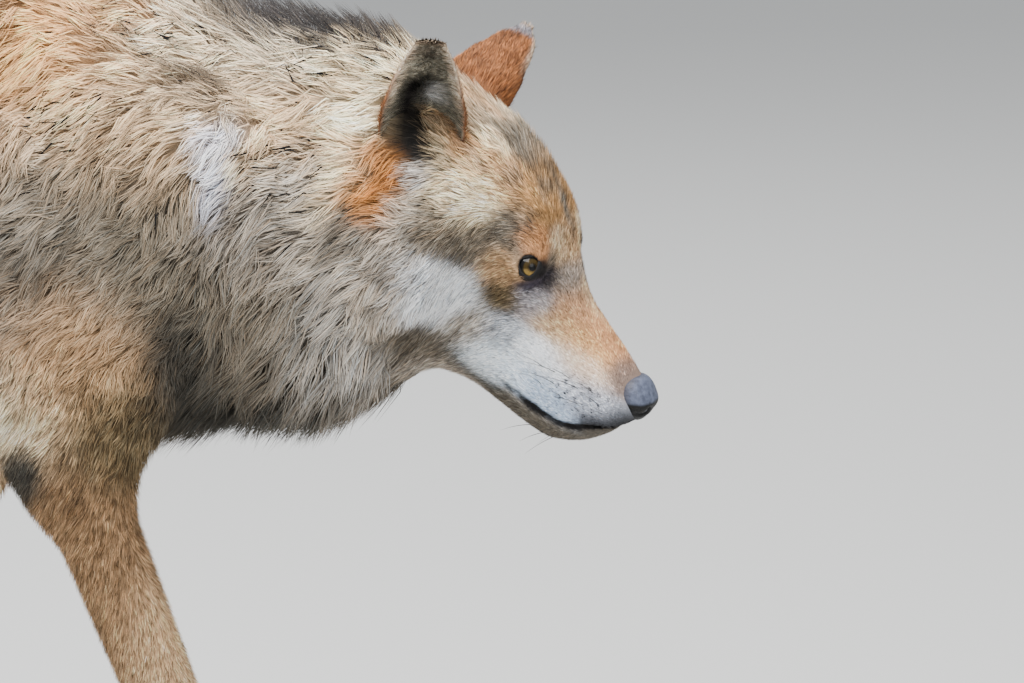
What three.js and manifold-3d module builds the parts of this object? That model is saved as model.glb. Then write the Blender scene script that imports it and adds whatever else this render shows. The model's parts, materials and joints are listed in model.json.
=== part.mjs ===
// A grey wolf at a slow walk with its head held low, life size, as faceted solids out to the tips of the coat.
// Millimetres. +X is the way it faces, +Y its left, +Z up. The body is one smooth outline made of named muscles and
// bones; each part is meshed from that outline and parted from its neighbour by a thin cut.
import * as THREE from 'three';
import Module from 'manifold-3d';

const wasm = await Module();
wasm.setup();

// ---- driving dimensions ----
const GAP = 0.3; // between neighbouring parts
const HEAD_ORIGIN = [161.2, -4.3, 568.7]; // where the skull meets the neck
const HEAD_YAW = -4.5; // the nose turns a little to the right
const HEAD_PITCH = -38.5; // and points down along the path
const HEAD_ROLL = 8; // the left ear is the higher one
const EYE = { at: [153, 38, 52], radius: 11.5 };
const NOSE = { at: [263, 0, 13], radii: [15, 17, 17] };
const EAR_THICKNESS = 5.5;
const EARS = {
  right: { side: -1, base: [43, -53, 82], tip: [15, -84, 150], face: [0.35, -0.93, 0.1] },
  left: { side: 1, base: [43, 52, 80], tip: [36, 105, 129], face: [0.35, 0.93, 0.1] },
};
// one row a leg: the joints from the top down
const FORELEGS = {
  right: { y: -88, top: [-48, 650], shoulder: [75, 564], elbow: [0, 357], wrist: [81, 152], knuckle: [104, 50] },
  left: { y: 86, top: [-66, 650], shoulder: [14, 522], elbow: [-118, 350], wrist: [-162, 135], knuckle: [-180, 45] },
};
const HINDLEGS = {
  right: { y: -74, hip: [-585, 585], stifle: [-478, 366], hock: [-640, 181], knuckle: [-628, 47] },
  left: { y: 74, hip: [-585, 585], stifle: [-600, 338], hock: [-790, 178], knuckle: [-842, 52] },
};
// toes from the outer one of the pair sideways, and how far each reaches forward of the knuckle
const FORE_TOES = [[-27, 32], [-10, 46], [10, 46], [27, 32]];
const HIND_TOES = [[-23, 30], [-9, 43], [9, 43], [23, 30]];
const CLAW = { radius: 4.2, length: 19 };

// outlines: along, top, bottom, height of the widest point, half width, squareness, narrowing upwards
const TRUNK = [
  [-712, 650, 575, 612, 30, 2.0, 0],
  [-675, 680, 535, 612, 66, 2.0, 0],
  [-610, 703, 515, 612, 92, 2.1, 0],
  [-540, 711, 498, 605, 100, 2.1, 0],
  [-450, 706, 474, 590, 102, 2.1, 0.05],
  [-350, 699, 438, 570, 114, 2.1, 0.1],
  [-250, 700, 411, 555, 125, 2.1, 0.15],
  [-150, 710, 393, 548, 126, 2.1, 0.2],
  [-60, 719, 385, 545, 114, 2.1, 0.25],
  [10, 706, 387, 545, 104, 2.1, 0.25],
  [60, 670, 392, 535, 90, 2.1, 0.2],
  [100, 610, 420, 520, 62, 2.0, 0.1],
];
const NECK = [
  [-50, 715, 420, 570, 80, 2.0, 0.2],
  [0, 702, 402, 555, 98, 2.0, 0.2],
  [60, 686, 390, 540, 112, 2.1, 0.15],
  [115, 675, 382, 530, 118, 2.1, 0.1],
  [156, 668, 383, 528, 116, 2.1, 0.08],
  [191, 659, 397, 526, 108, 2.1, 0.05],
  [219, 647, 416, 526, 96, 2.0, 0.05],
  [243, 622, 440, 524, 76, 2.0, 0],
  [258, 590, 468, 522, 52, 2.0, 0],
];
const SKULL = [
  [-30, 92, -50, 30, 58, 2.0, 0],
  [0, 104, -68, 28, 74, 2.0, 0],
  [30, 109, -84, 24, 86, 2.0, 0.05],
  [60, 111, -90, 20, 88, 2.1, 0.12],
  [85, 112, -88, 18, 84, 2.1, 0.16],
  [105, 110, -84, 18, 76, 2.1, 0.18],
  [120, 105, -78, 17, 66, 2.1, 0.2],
  [135, 96, -70, 14, 56, 2.2, 0.22],
  [153, 83, -60, 8, 47, 2.2, 0.3],
  [172, 67, -53, 0, 41, 2.3, 0.36],
  [194, 49, -51, -6, 37, 2.4, 0.38],
  [215, 41, -50, -10, 35, 2.4, 0.38],
  [235, 35, -47, -10, 33, 2.4, 0.38],
  [252, 29, -36, -8, 28, 2.3, 0.3],
  [264, 26, -22, -2, 20, 2.2, 0.2],
  [271, 22, -10, 4, 12, 2.0, 0],
];
// path of the tail's middle and its bushy radius
const TAIL = [
  [-668, 0, 652, 36],
  [-728, 2, 612, 42],
  [-768, 6, 540, 46],
  [-788, 10, 450, 47],
  [-792, 13, 360, 40],
  [-784, 14, 300, 24],
  [-778, 14, 268, 9],
];
// up the ear: share of its height, half width, depth of the cup
const EAR_RINGS = [
  [-0.25, 30, 24],
  [0, 31, 27],
  [0.25, 30, 24],
  [0.5, 25, 18],
  [0.72, 19, 12],
  [0.88, 13, 8],
  [1.0, 8, 6],
];

// ---- small sums with points ----
const rad = THREE.MathUtils.degToRad;
const add = (a, b) => [a[0] + b[0], a[1] + b[1], a[2] + b[2]];
const sub = (a, b) => [a[0] - b[0], a[1] - b[1], a[2] - b[2]];
const times = (a, s) => [a[0] * s, a[1] * s, a[2] * s];
const dot = (a, b) => a[0] * b[0] + a[1] * b[1] + a[2] * b[2];
const cross = (a, b) => [a[1] * b[2] - a[2] * b[1], a[2] * b[0] - a[0] * b[2], a[0] * b[1] - a[1] * b[0]];
const unit = (a) => times(a, 1 / Math.hypot(...a));
const clamp = (v, lo, hi) => Math.min(Math.max(v, lo), hi);

// columns are a turned part's own forward, left and up
function turned(yaw, pitch, roll) {
  const [cy, sy] = [Math.cos(rad(yaw)), Math.sin(rad(yaw))];
  const [cp, sp] = [Math.cos(rad(pitch)), Math.sin(rad(pitch))];
  const [cr, sr] = [Math.cos(rad(roll)), Math.sin(rad(roll))];
  const forward = [cy * cp, sy * cp, sp];
  const left = [-sy * cr - cy * sp * sr, cy * cr - sy * sp * sr, cp * sr];
  return [forward, left, cross(forward, left)];
}
const inside = (p, origin, axes) => axes.map((axis) => dot(sub(p, origin), axis));
const outside = (q, origin, axes) => axes.reduce((p, axis, i) => add(p, times(axis, q[i])), origin);

const HEAD = turned(HEAD_YAW, HEAD_PITCH, HEAD_ROLL);
const WORLD = turned(0, 0, 0);
const head = (q) => outside(q, HEAD_ORIGIN, HEAD);

// rows smoothed by a curve through all of them, steps rows for each one given
function smooth(rows, steps) {
  const first = rows[0].map((v, i) => 2 * v - rows[1][i]);
  const last = rows[rows.length - 1].map((v, i) => 2 * v - rows[rows.length - 2][i]);
  const all = [first, ...rows, last];
  const out = [];
  for (let i = 1; i < all.length - 2; i++) {
    for (let k = 0; k < steps; k++) {
      const u = k / steps;
      out.push(all[i].map((b, c) => {
        const [a, d, e] = [all[i - 1][c], all[i + 1][c], all[i + 2][c]];
        return 0.5 * (2 * b + (d - a) * u + (2 * a - 5 * b + 4 * d - e) * u * u + (3 * b - a - 3 * d + e) * u ** 3);
      }));
    }
  }
  out.push(rows[rows.length - 1]);
  return out;
}
function rowAt(rows, x) {
  let i = 1;
  while (i < rows.length - 1 && rows[i][0] < x) i++;
  const u = clamp((x - rows[i - 1][0]) / (rows[i][0] - rows[i - 1][0]), 0, 1);
  return rows[i - 1].map((v, c) => v + (rows[i][c] - v) * u);
}

// ---- the forms: each gives the distance from a point to its surface, less than zero inside ----
function blend(a, b, k) {
  const h = Math.max(k - Math.abs(a - b), 0) / k;
  return Math.min(a, b) - (h * h * k) / 4;
}
// a muscle or bone from a to b, flattened sideways
function limb(a, b, ra, rb, flat, k) {
  const ab = sub(b, a);
  const along = dot(ab, ab);
  const at = (p) => {
    const t = clamp(dot(sub(p, a), ab) / along, 0, 1);
    const q = sub(p, add(a, times(ab, t)));
    return Math.hypot(q[0], q[1] / flat, q[2]) - (ra + (rb - ra) * t);
  };
  return { at, k };
}
function blob(centre, radii, k, axes = WORLD) {
  const at = (p) => {
    const q = inside(p, centre, axes);
    const near = Math.hypot(...q.map((v, i) => v / radii[i]));
    const steep = Math.hypot(...q.map((v, i) => v / radii[i] ** 2));
    return (near * (near - 1)) / Math.max(steep, 1e-9);
  };
  return { at, k };
}
// a barrel with its own top, bottom and width at every station
function barrel(stations, k, origin = [0, 0, 0], axes = WORLD) {
  const rows = smooth(stations, 8);
  const at = (p) => {
    const q = inside(p, origin, axes);
    const x = clamp(q[0], rows[0][0], rows[rows.length - 1][0]);
    const [, top, bottom, wide, half, square, narrow] = rowAt(rows, x);
    const dz = q[2] - wide;
    const h = dz > 0 ? top - wide : wide - bottom;
    const w = half * (1 - narrow * clamp(dz / h, -0.6, 1));
    const rho = (Math.abs(q[1] / w) ** square + Math.abs(dz / h) ** square) ** (1 / square);
    return (rho - 1) * Math.min(half, h) + Math.abs(q[0] - x);
  };
  return { at, k };
}
function tube(path, k) {
  const rows = smooth(path, 5);
  const links = rows.slice(1).map((b, i) => limb(rows[i].slice(0, 3), b.slice(0, 3), rows[i][3], b[3], 1, k));
  return { at: (p) => Math.min(...links.map((link) => link.at(p))), k };
}
const outlineOf = (forms) => (p) => forms.reduce((d, form) => blend(d, form.at(p), form.k), 1e3);

// ---- the wolf's forms ----
const trunk = barrel(TRUNK, 30);
const neck = barrel(NECK, 26);
const breast = blob([50, 0, 462], [58, 80, 70], 40);
const skull = barrel(SKULL, 22, HEAD_ORIGIN, HEAD);
const sides = [-1, 1];
const faceAxes = turned(HEAD_YAW, HEAD_PITCH - 30, HEAD_ROLL);
const face = [
  ...sides.map((s) => blob(head([136, s * 28, 70]), [19, 14, 12], 16, faceAxes)),
  ...sides.map((s) => blob(head([58, s * 62, -6]), [60, 36, 50], 30, HEAD)),
  blob(head(NOSE.at), NOSE.radii, 6, HEAD),
];
const tail = tube(TAIL, 26);

function toesOf(knuckle, y, rows, length, radius) {
  return rows.map(([dy, dx]) => limb(
    [knuckle[0] + 8, y + dy * 0.7, 34 - length],
    [knuckle[0] + dx, y + dy, 12 - length / 3],
    radius,
    radius - 2,
    0.86,
    7,
  ));
}
function foreleg({ y, top, shoulder, elbow, wrist, knuckle }) {
  const side = Math.sign(y);
  const at = ([x, z], out = y) => [x, out, z];
  const point = [elbow[0] - 34, elbow[1] + 16];
  return [
    limb(at(top, side * 46), at(shoulder, side * 84), 34, 60, 0.62, 40),
    limb(at(shoulder, side * 84), at(elbow), 66, 42, 0.62, 30),
    limb(at([elbow[0] - 62, elbow[1] + 200], side * 82), at(point), 58, 22, 0.6, 30),
    limb(at(elbow), at(wrist, side * 85), 33, 25, 0.8, 18),
    blob(at(point), [18, 14, 18], 12),
    blob(at(wrist, side * 85), [23, 23, 26], 14),
    limb(at(wrist, side * 85), at(knuckle, side * 85), 21, 22, 1.1, 12),
    blob([knuckle[0] + 4, side * 85, 22], [33, 33, 26], 14),
    ...toesOf(knuckle, side * 85, FORE_TOES, 0, 16),
  ];
}
function hindleg({ y, hip, stifle, hock, knuckle }) {
  const side = Math.sign(y);
  const at = ([x, z], out = side * 70) => [x, out, z];
  return [
    limb(at(hip, side * 62), at(stifle, side * 76), 98, 48, 0.55, 35),
    blob([-610, side * 55, 630], [100, 48, 80], 40),
    limb([-648, side * 50, 585], [stifle[0] - 75, side * 72, stifle[1] + 25], 60, 32, 0.6, 35),
    limb(at(stifle, side * 76), at(hock), 44, 20, 0.66, 20),
    limb([stifle[0] - 85, side * 72, stifle[1] - 10], [hock[0] - 14, side * 70, hock[1] + 14], 26, 14, 0.7, 18),
    blob([hock[0] - 8, side * 70, hock[1] + 6], [22, 18, 24], 14),
    limb(at(hock), at(knuckle), 20, 20, 0.95, 12),
    blob([knuckle[0] + 6, side * 70, 20], [30, 29, 24], 14),
    ...toesOf(knuckle, side * 70, HIND_TOES, 3, 15),
  ];
}

// ---- from outline to solid ----
// grid lines from lo to hi; step is one width, or pairs of [up to here, width]
function gridLines(lo, hi, step) {
  const widths = Array.isArray(step) ? step : [[hi, step]];
  const lines = [lo];
  while (lines[lines.length - 1] < hi) {
    const here = lines[lines.length - 1];
    const [, width] = widths.find(([upTo]) => here < upTo) ?? widths[widths.length - 1];
    lines.push(here + width);
  }
  return lines;
}
// one corner a mixed cell, one quad a crossed grid edge: a closed faceted skin over the outline
function skinOver(outline, lo, hi, steps) {
  const lines = [0, 1, 2].map((a) => gridLines(lo[a], hi[a], steps[a]));
  const n = lines.map((l) => l.length);
  const at = (i, j, k) => (i * n[1] + j) * n[2] + k;
  const value = new Float64Array(n[0] * n[1] * n[2]);
  for (let i = 0; i < n[0]; i++) {
    for (let j = 0; j < n[1]; j++) {
      for (let k = 0; k < n[2]; k++) {
        const edge = i === 0 || j === 0 || k === 0 || i === n[0] - 1 || j === n[1] - 1 || k === n[2] - 1;
        value[at(i, j, k)] = edge ? 1 : outline([lines[0][i], lines[1][j], lines[2][k]]);
      }
    }
  }
  const corner = new Map();
  const vertices = [];
  for (let i = 0; i < n[0] - 1; i++) {
    for (let j = 0; j < n[1] - 1; j++) {
      for (let k = 0; k < n[2] - 1; k++) {
        const point = cellPoint(value, lines, at, [i, j, k]);
        if (point) {
          corner.set(at(i, j, k), vertices.length / 3);
          vertices.push(...point);
        }
      }
    }
  }
  const triangles = [];
  for (let axis = 0; axis < 3; axis++) {
    const [e, f] = [(axis + 1) % 3, (axis + 2) % 3];
    const step = (cell, way) => cell.map((v, a) => v - (a === way ? 1 : 0));
    for (let i = 0; i < n[0] - 1; i++) {
      for (let j = 0; j < n[1] - 1; j++) {
        for (let k = 0; k < n[2] - 1; k++) {
          const cell = [i, j, k];
          const next = cell.map((v, a) => v + (a === axis ? 1 : 0));
          const [here, there] = [value[at(...cell)] < 0, value[at(...next)] < 0];
          if (here === there || cell[e] === 0 || cell[f] === 0) continue;
          const ring = [step(step(cell, e), f), step(cell, f), cell, step(cell, e)].map((c) => corner.get(at(...c)));
          if (!here) ring.reverse();
          triangles.push(ring[0], ring[1], ring[2], ring[0], ring[2], ring[3]);
        }
      }
    }
  }
  const geometry = new THREE.BufferGeometry();
  geometry.setAttribute('position', new THREE.BufferAttribute(new Float32Array(vertices), 3));
  geometry.setIndex(triangles);
  return geometry;
}
// the middle of the places where the outline crosses this cell's edges
function cellPoint(value, lines, at, cell) {
  const sum = [0, 0, 0];
  let crossings = 0;
  for (let c = 0; c < 8; c++) {
    const a = cell.map((v, axis) => v + ((c >> axis) & 1));
    for (let axis = 0; axis < 3; axis++) {
      if ((c >> axis) & 1) continue;
      const b = a.map((v, i) => v + (i === axis ? 1 : 0));
      const [va, vb] = [value[at(...a)], value[at(...b)]];
      if (va < 0 === vb < 0) continue;
      const t = va / (va - vb);
      for (let i = 0; i < 3; i++) sum[i] += lines[i][a[i]] + t * (lines[i][b[i]] - lines[i][a[i]]);
      crossings++;
    }
  }
  return crossings ? sum.map((v) => v / crossings) : null;
}

const solid = (geometry) => {
  const welded = weld(geometry);
  return new wasm.Manifold(new wasm.Mesh(welded));
};
function weld(geometry) {
  const source = geometry.getAttribute('position');
  const places = Array.from({ length: source.count * 3 }, (_, i) => source.array[i]);
  const index = geometry.getIndex() ? Array.from(geometry.getIndex().array) : places.map((_, i) => i).slice(0, source.count);
  const welded = snapped(places, index);
  if (enclosed(welded.places, welded.corners) < 0) welded.corners.reverse();
  return {
    numProp: 3,
    vertProperties: new Float32Array(welded.places),
    triVerts: new Uint32Array(welded.corners),
  };
}
// points on a 0.002 mm grid, each kept once, with no triangle left that has lost its area or lies on another's back
function snapped(places, corners) {
  const seen = new Map();
  const kept = [];
  const renamed = [];
  for (let i = 0; i < places.length; i += 3) {
    const p = places.slice(i, i + 3).map((v) => Math.round(v * 500) / 500);
    const key = p.join();
    if (!seen.has(key)) {
      seen.set(key, kept.length / 3);
      kept.push(...p);
    }
    renamed.push(seen.get(key));
  }
  const triangles = new Map();
  for (let i = 0; i < corners.length; i += 3) {
    const triangle = [0, 1, 2].map((k) => renamed[corners[i + k]]);
    if (new Set(triangle).size < 3) continue;
    const key = [...triangle].sort((a, b) => a - b).join();
    if (triangles.has(key)) triangles.delete(key);
    else triangles.set(key, triangle);
  }
  return { places: kept, corners: [...triangles.values()].flat() };
}
// six times the volume inside the triangles, less than zero when they face inwards
function enclosed(places, corners) {
  let sum = 0;
  for (let i = 0; i < corners.length; i += 3) {
    const [a, b, c] = [0, 1, 2].map((k) => places.slice(3 * corners[i + k], 3 * corners[i + k] + 3));
    sum += dot(a, cross(b, c));
  }
  return sum;
}
function turnedCopy(geometry, origin, axes) {
  const [x, y, z] = axes.map((axis) => new THREE.Vector3(...axis));
  const matrix = new THREE.Matrix4().makeBasis(x, y, z).setPosition(...origin);
  return geometry.applyMatrix4(matrix);
}
// a block from its near corner to its far one, in its own axes
function block(lo, hi, origin = [0, 0, 0], axes = WORLD) {
  const size = sub(hi, lo);
  const geometry = new THREE.BoxGeometry(...size);
  geometry.translate(...times(add(lo, hi), 0.5));
  return solid(turnedCopy(geometry, origin, axes));
}
const FAR = 1500;
// everything on the far side of a plane tilted by a pitch
const beyond = ([x, z], pitch, shift = 0) => block([shift, -FAR, -FAR], [FAR, FAR, FAR], [x, 0, z], turned(0, pitch, 0));

// ---- head ----
function eyeBall(side, grow = 0) {
  const geometry = new THREE.SphereGeometry(EYE.radius + grow, 10, 8);
  geometry.rotateX(Math.PI / 2);
  const [x, y, z] = EYE.at;
  return solid(turnedCopy(geometry, head([x, side * y, z]), HEAD));
}
function nosePad(grow = 0) {
  const geometry = new THREE.SphereGeometry(1, 10, 8);
  geometry.rotateX(Math.PI / 2);
  geometry.scale(...NOSE.radii.map((r) => r + grow));
  return solid(turnedCopy(geometry, head(NOSE.at), HEAD));
}
// a cupped shell: an outer and an inner half ring at each height, closed at both ends; its socket isn't hollow
function earShell({ side, base, tip, face: facing }, grow = 0) {
  const up = unit(sub(tip, base));
  const out = unit(sub(facing, times(up, dot(facing, up))));
  const across = cross(up, out);
  const height = Math.hypot(...sub(tip, base));
  const rows = smooth(EAR_RINGS, 1);
  const arc = 6;
  const rings = rows.map(([share, half, depth], row) => {
    const floor = clamp((share + 0.1) / 0.35, 0, 1);
    const [hollow, cup] = grow ? [half + grow, -1 - grow] : [half - EAR_THICKNESS, (depth - EAR_THICKNESS) * floor + 1];
    const end = row === 0 ? -grow : row === rows.length - 1 ? grow : 0;
    const place = (w, d, angle) => {
      const flat = add(times(across, w * Math.cos(angle)), times(out, -d * Math.sin(angle)));
      return head(add(base, add(flat, times(up, share * height + end))));
    };
    const ring = [];
    for (let i = 0; i <= arc; i++) ring.push(place(half + grow, depth + grow, (Math.PI * i) / arc));
    for (let i = arc - 1; i > 0; i--) ring.push(place(hollow, cup, (Math.PI * i) / arc));
    return ring;
  });
  return solid(lofted(rings));
}
function lofted(rings) {
  const size = rings[0].length;
  const places = rings.flat(2);
  const triangles = [];
  for (let r = 0; r + 1 < rings.length; r++) {
    for (let i = 0; i < size; i++) {
      const j = (i + 1) % size;
      const [a, b, c, d] = [r * size + i, r * size + j, (r + 1) * size + j, (r + 1) * size + i];
      triangles.push(a, b, c, a, c, d);
    }
  }
  for (const [r, flip] of [[0, true], [rings.length - 1, false]]) {
    for (let i = 0; i < size / 2; i++) {
      const quad = [i, i + 1, (size - i - 1) % size, (size - i) % size].map((c) => r * size + c);
      if (flip) quad.reverse();
      triangles.push(quad[0], quad[1], quad[2], quad[0], quad[2], quad[3]);
    }
  }
  const geometry = new THREE.BufferGeometry();
  geometry.setAttribute('position', new THREE.BufferAttribute(new Float32Array(places), 3));
  geometry.setIndex(triangles);
  return geometry;
}

// ---- parting the body ----
const half = GAP / 2;
const neckBase = (shift) => beyond([60, 540], 12, shift);
const headBase = (shift) => beyond([184, 530], -3, shift);
const TAIL_ROOT = -714;
const JAW_AXES = turned(HEAD_YAW, HEAD_PITCH + 8, HEAD_ROLL);
const jawBlock = (grow) => block([-33 - grow, -80, -100], [110, 80, grow], head([193, 0, -28]), JAW_AXES);
// a sideways block, mirrored to the leg's own side
function sideBlock(side, lo, hi, grow) {
  const [near, far] = side < 0 ? [-hi[1], -lo[1]] : [lo[1], hi[1]];
  return block([lo[0] - grow, near - grow, lo[2] - grow], [hi[0] + grow, far + grow, hi[2] + grow]);
}
function armBlock(side, grow) {
  const { shoulder, elbow } = side < 0 ? FORELEGS.right : FORELEGS.left;
  const ahead = beyond([shoulder[0] + 17, 480], -14, grow);
  const behind = beyond([elbow[0] - 96, 470], 158, grow);
  return sideBlock(side, [-400, 47, -50], [200, 175, 590], grow).subtract(ahead).subtract(behind);
}
const thighBlock = (side, grow) => sideBlock(side, [TAIL_ROOT + GAP, 26, -50], [-380, 170, 590], grow).subtract(
  beyond([-425, 360], 21, grow),
);
// everything past a share of the way from one joint to the next
function past(from, to, share, shift) {
  const pitch = THREE.MathUtils.radToDeg(Math.atan2(to[1] - from[1], to[0] - from[0]));
  const at = [from[0] + (to[0] - from[0]) * share, from[1] + (to[1] - from[1]) * share];
  return beyond(at, pitch, shift);
}

const COATS = {
  coat_grizzled: ['#a08a6e', 0.95],
  coat_face: ['#b3936c', 0.95],
  coat_tan: ['#b98f62', 0.95],
  eye: ['#8a5a1c', 0.15],
  nose_leather: ['#26221f', 0.5],
  claw_horn: ['#2c2622', 0.45],
};
// a cut can leave a crumb beside the part itself: only the biggest connected piece is kept
function biggestPiece(corners, count) {
  const parent = Array.from({ length: count }, (_, i) => i);
  const root = (i) => {
    while (parent[i] !== i) {
      parent[i] = parent[parent[i]];
      i = parent[i];
    }
    return i;
  };
  for (let i = 0; i < corners.length; i += 3) {
    parent[root(corners[i + 1])] = root(corners[i]);
    parent[root(corners[i + 2])] = root(corners[i]);
  }
  const share = new Map();
  for (const corner of corners) share.set(root(corner), (share.get(root(corner)) ?? 0) + 1);
  const [biggest] = [...share.entries()].sort((a, b) => b[1] - a[1])[0];
  return corners.filter((corner) => root(corner) === biggest);
}
const nodes = [];
function node(name, slot, body) {
  const mesh = body.getMesh();
  const geometry = new THREE.BufferGeometry();
  const raw = [];
  for (let i = 0; i < mesh.numVert; i++) {
    for (let a = 0; a < 3; a++) raw.push(mesh.vertProperties[mesh.numProp * i + a]);
  }
  const { places, corners } = snapped(raw, Array.from(mesh.triVerts));
  geometry.setAttribute('position', new THREE.BufferAttribute(new Float32Array(places), 3));
  geometry.setIndex(biggestPiece(corners, places.length / 3));
  geometry.computeVertexNormals();
  const [color, roughness] = COATS[slot];
  const material = new THREE.MeshStandardMaterial({ color, roughness, metalness: 0 });
  material.name = slot;
  const made = new THREE.Mesh(geometry, material);
  made.name = name;
  nodes.push(made);
}

// ---- trunk, neck and tail ----
const legForms = {
  foreright: foreleg(FORELEGS.right),
  foreleft: foreleg(FORELEGS.left),
  hindright: hindleg(HINDLEGS.right),
  hindleft: hindleg(HINDLEGS.left),
};
const core = [trunk, neck, breast];
const everyForm = [...core, ...Object.values(legForms).flat(), tail];
const bodySkin = solid(skinOver(outlineOf(everyForm), [-777, -167, 296], [150, 168, 760], [43, 33.4, 35]));
const foreBlocks = sides.map((s) => armBlock(s, GAP));
const hindBlocks = sides.map((s) => thighBlock(s, GAP));
const belowChest = block([-400, -FAR, -FAR], [200, FAR, 374]);
const legRoots = [...foreBlocks, ...hindBlocks, belowChest].reduce((all, next) => all.add(next));
const tailSpace = (grow) => block([-FAR, -FAR, -FAR], [TAIL_ROOT + grow, FAR, FAR]);

node('trunk', 'coat_grizzled', bodySkin.subtract(legRoots).subtract(neckBase(-half)).subtract(tailSpace(half)));

const shoulders = [...legForms.foreright, ...legForms.foreleft];
const neckOutline = outlineOf([...core, ...shoulders, skull, ...face.slice(0, 4)]);
const neckSkin = solid(skinOver(neckOutline, [0, -150, 340], [270, 150, 740], [34, 31, 32]));
node('neck', 'coat_grizzled', neckSkin.intersect(neckBase(half)).subtract(headBase(-half)).subtract(legRoots));

const tailSkin = solid(skinOver(outlineOf([trunk, tail]), [-850, -60, 240], [-690, 80, 690], [29, 27, 42]));
node('tail', 'coat_grizzled', tailSkin.subtract(block([TAIL_ROOT - half, -FAR, -FAR], [FAR, FAR, FAR])));

// ---- head ----
const headOutline = outlineOf([neck, skull, ...face.slice(0, 4)]);
const headSkin = solid(skinOver(headOutline, [160, -140, 360], [402, 130, 680], [[[280, 24], [FAR, 15.4]], 17, 17.6]));
const sockets = [
  nosePad(GAP),
  ...sides.map((s) => eyeBall(s, GAP)),
  ...Object.values(EARS).map((ear) => earShell(ear, GAP)),
].reduce((all, next) => all.add(next));
const wholeHead = headSkin.intersect(headBase(half)).subtract(sockets);
node('head', 'coat_face', wholeHead.subtract(jawBlock(half)));
node('lower_jaw', 'coat_face', wholeHead.intersect(jawBlock(-half)));
node('nose', 'nose_leather', nosePad());
for (const [name, ear] of Object.entries(EARS)) {
  node(`ear_${name}`, 'coat_face', earShell(ear));
  node(`eye_${name}`, 'eye', eyeBall(ear.side));
}

// ---- legs ----
function claw([x, y, z], yaw, pitch, length, radius, grow = 0) {
  const geometry = new THREE.ConeGeometry(radius + grow, length + 4 * grow, 6);
  geometry.rotateZ(-Math.PI / 2);
  geometry.translate(length / 2 + grow, 0, 0);
  return solid(turnedCopy(geometry, [x, y, z], turned(yaw, pitch, 0)));
}
const ground = block([-FAR, -FAR, 0], [FAR, FAR, FAR]);
// names: upper, middle and foot; joints: middle joint, wrist or hock, knuckle
function leg({ names, y, forms, joints, root, toes, toeEnd, clawPrefix, dewclaw }) {
  const [middle, wrist, knuckle] = joints;
  const outline = outlineOf(forms);
  const belowMiddle = (shift) => past(middle, wrist, 0.12, shift);
  const belowWrist = (shift) => past(wrist, knuckle, 0.2, shift);
  const back = Math.min(...joints.map(([x]) => x));
  const front = Math.max(...joints.map(([x]) => x));
  const limbLo = [back - 61, y - 57, knuckle[1]];
  const limbHi = [front + 60, y + 60, middle[1] + 60];
  const limbSkin = solid(skinOver(outline, limbLo, limbHi, [18.5, 16.2, 36]));
  const pawLo = [Math.min(wrist[0], knuckle[0]) - 45, y - 52, -16];
  const pawHi = [Math.max(wrist[0], knuckle[0]) + 80, y + 52, wrist[1] + 20];
  const pawSkin = solid(skinOver(outline, pawLo, pawHi, [14.4, 12.2, [[62, 13], [FAR, 30]]]));
  const claws = toes.map(([dy, dx], i) => ({
    name: `${clawPrefix}${i + 1}`,
    place: [[knuckle[0] + dx + toeEnd.radius - 6, y + dy, toeEnd.z], dy * 0.35, -14, CLAW.length, CLAW.radius],
  }));
  if (dewclaw) {
    const inner = Math.sign(-y);
    const at = [wrist[0] + 12, y + inner * 19, wrist[1] - 42];
    claws.push({ name: dewclaw, place: [at, inner * 25, -62, 15, 3.6] });
  }
  const holes = claws.map(({ place }) => claw(...place, GAP)).reduce((all, next) => all.add(next));
  node(names[0], 'coat_grizzled', bodySkin.intersect(root).subtract(belowMiddle(-half)));
  node(names[1], 'coat_tan', limbSkin.intersect(belowMiddle(half)).subtract(belowWrist(-half)));
  node(names[2], 'coat_tan', pawSkin.intersect(belowWrist(half)).intersect(ground).subtract(holes));
  for (const { name, place } of claws) node(name, 'claw_horn', claw(...place));
}
for (const [tag, side] of [['right', -1], ['left', 1]]) {
  const fore = FORELEGS[tag];
  leg({
    names: [`upper_arm_${tag}`, `forearm_${tag}`, `paw_fore_${tag}`],
    y: side * 85,
    forms: legForms[`fore${tag}`],
    joints: [fore.elbow, fore.wrist, fore.knuckle],
    root: armBlock(side, 0),
    toes: FORE_TOES,
    toeEnd: { radius: 14, z: 13 },
    clawPrefix: `claw_fore_${tag}_`,
    dewclaw: `dewclaw_${tag}`,
  });
  const hind = HINDLEGS[tag];
  leg({
    names: [`thigh_${tag}`, `shank_${tag}`, `paw_hind_${tag}`],
    y: side * 70,
    forms: legForms[`hind${tag}`],
    joints: [hind.stifle, hind.hock, hind.knuckle],
    root: thighBlock(side, 0),
    toes: HIND_TOES,
    toeEnd: { radius: 13, z: 12 },
    clawPrefix: `claw_hind_${tag}_`,
  });
}

// ---- one object, standing with its middle over the origin ----
const wolf = new THREE.Group();
wolf.name = 'wolf';
for (const made of nodes) wolf.add(made);
const bounds = new THREE.Box3().setFromObject(wolf);
const middle = bounds.getCenter(new THREE.Vector3());
const [centreX, centreY] = [Math.round(middle.x), Math.round(middle.y)];
for (const made of nodes) made.geometry.translate(-centreX, -centreY, 0);

export default wolf;
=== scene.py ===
"""Looks of a life-size grey wolf: one skin, a coat of mesh tufts, eyes, nose, whiskers and claws.

Sizes are millimetres with x forward, y to the wolf's left and z up from the floor. Places on the head are
in the head's own frame: forward, to the left and up from its middle. A side is -1, the right, or 1, the left.
"""

import json

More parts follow.
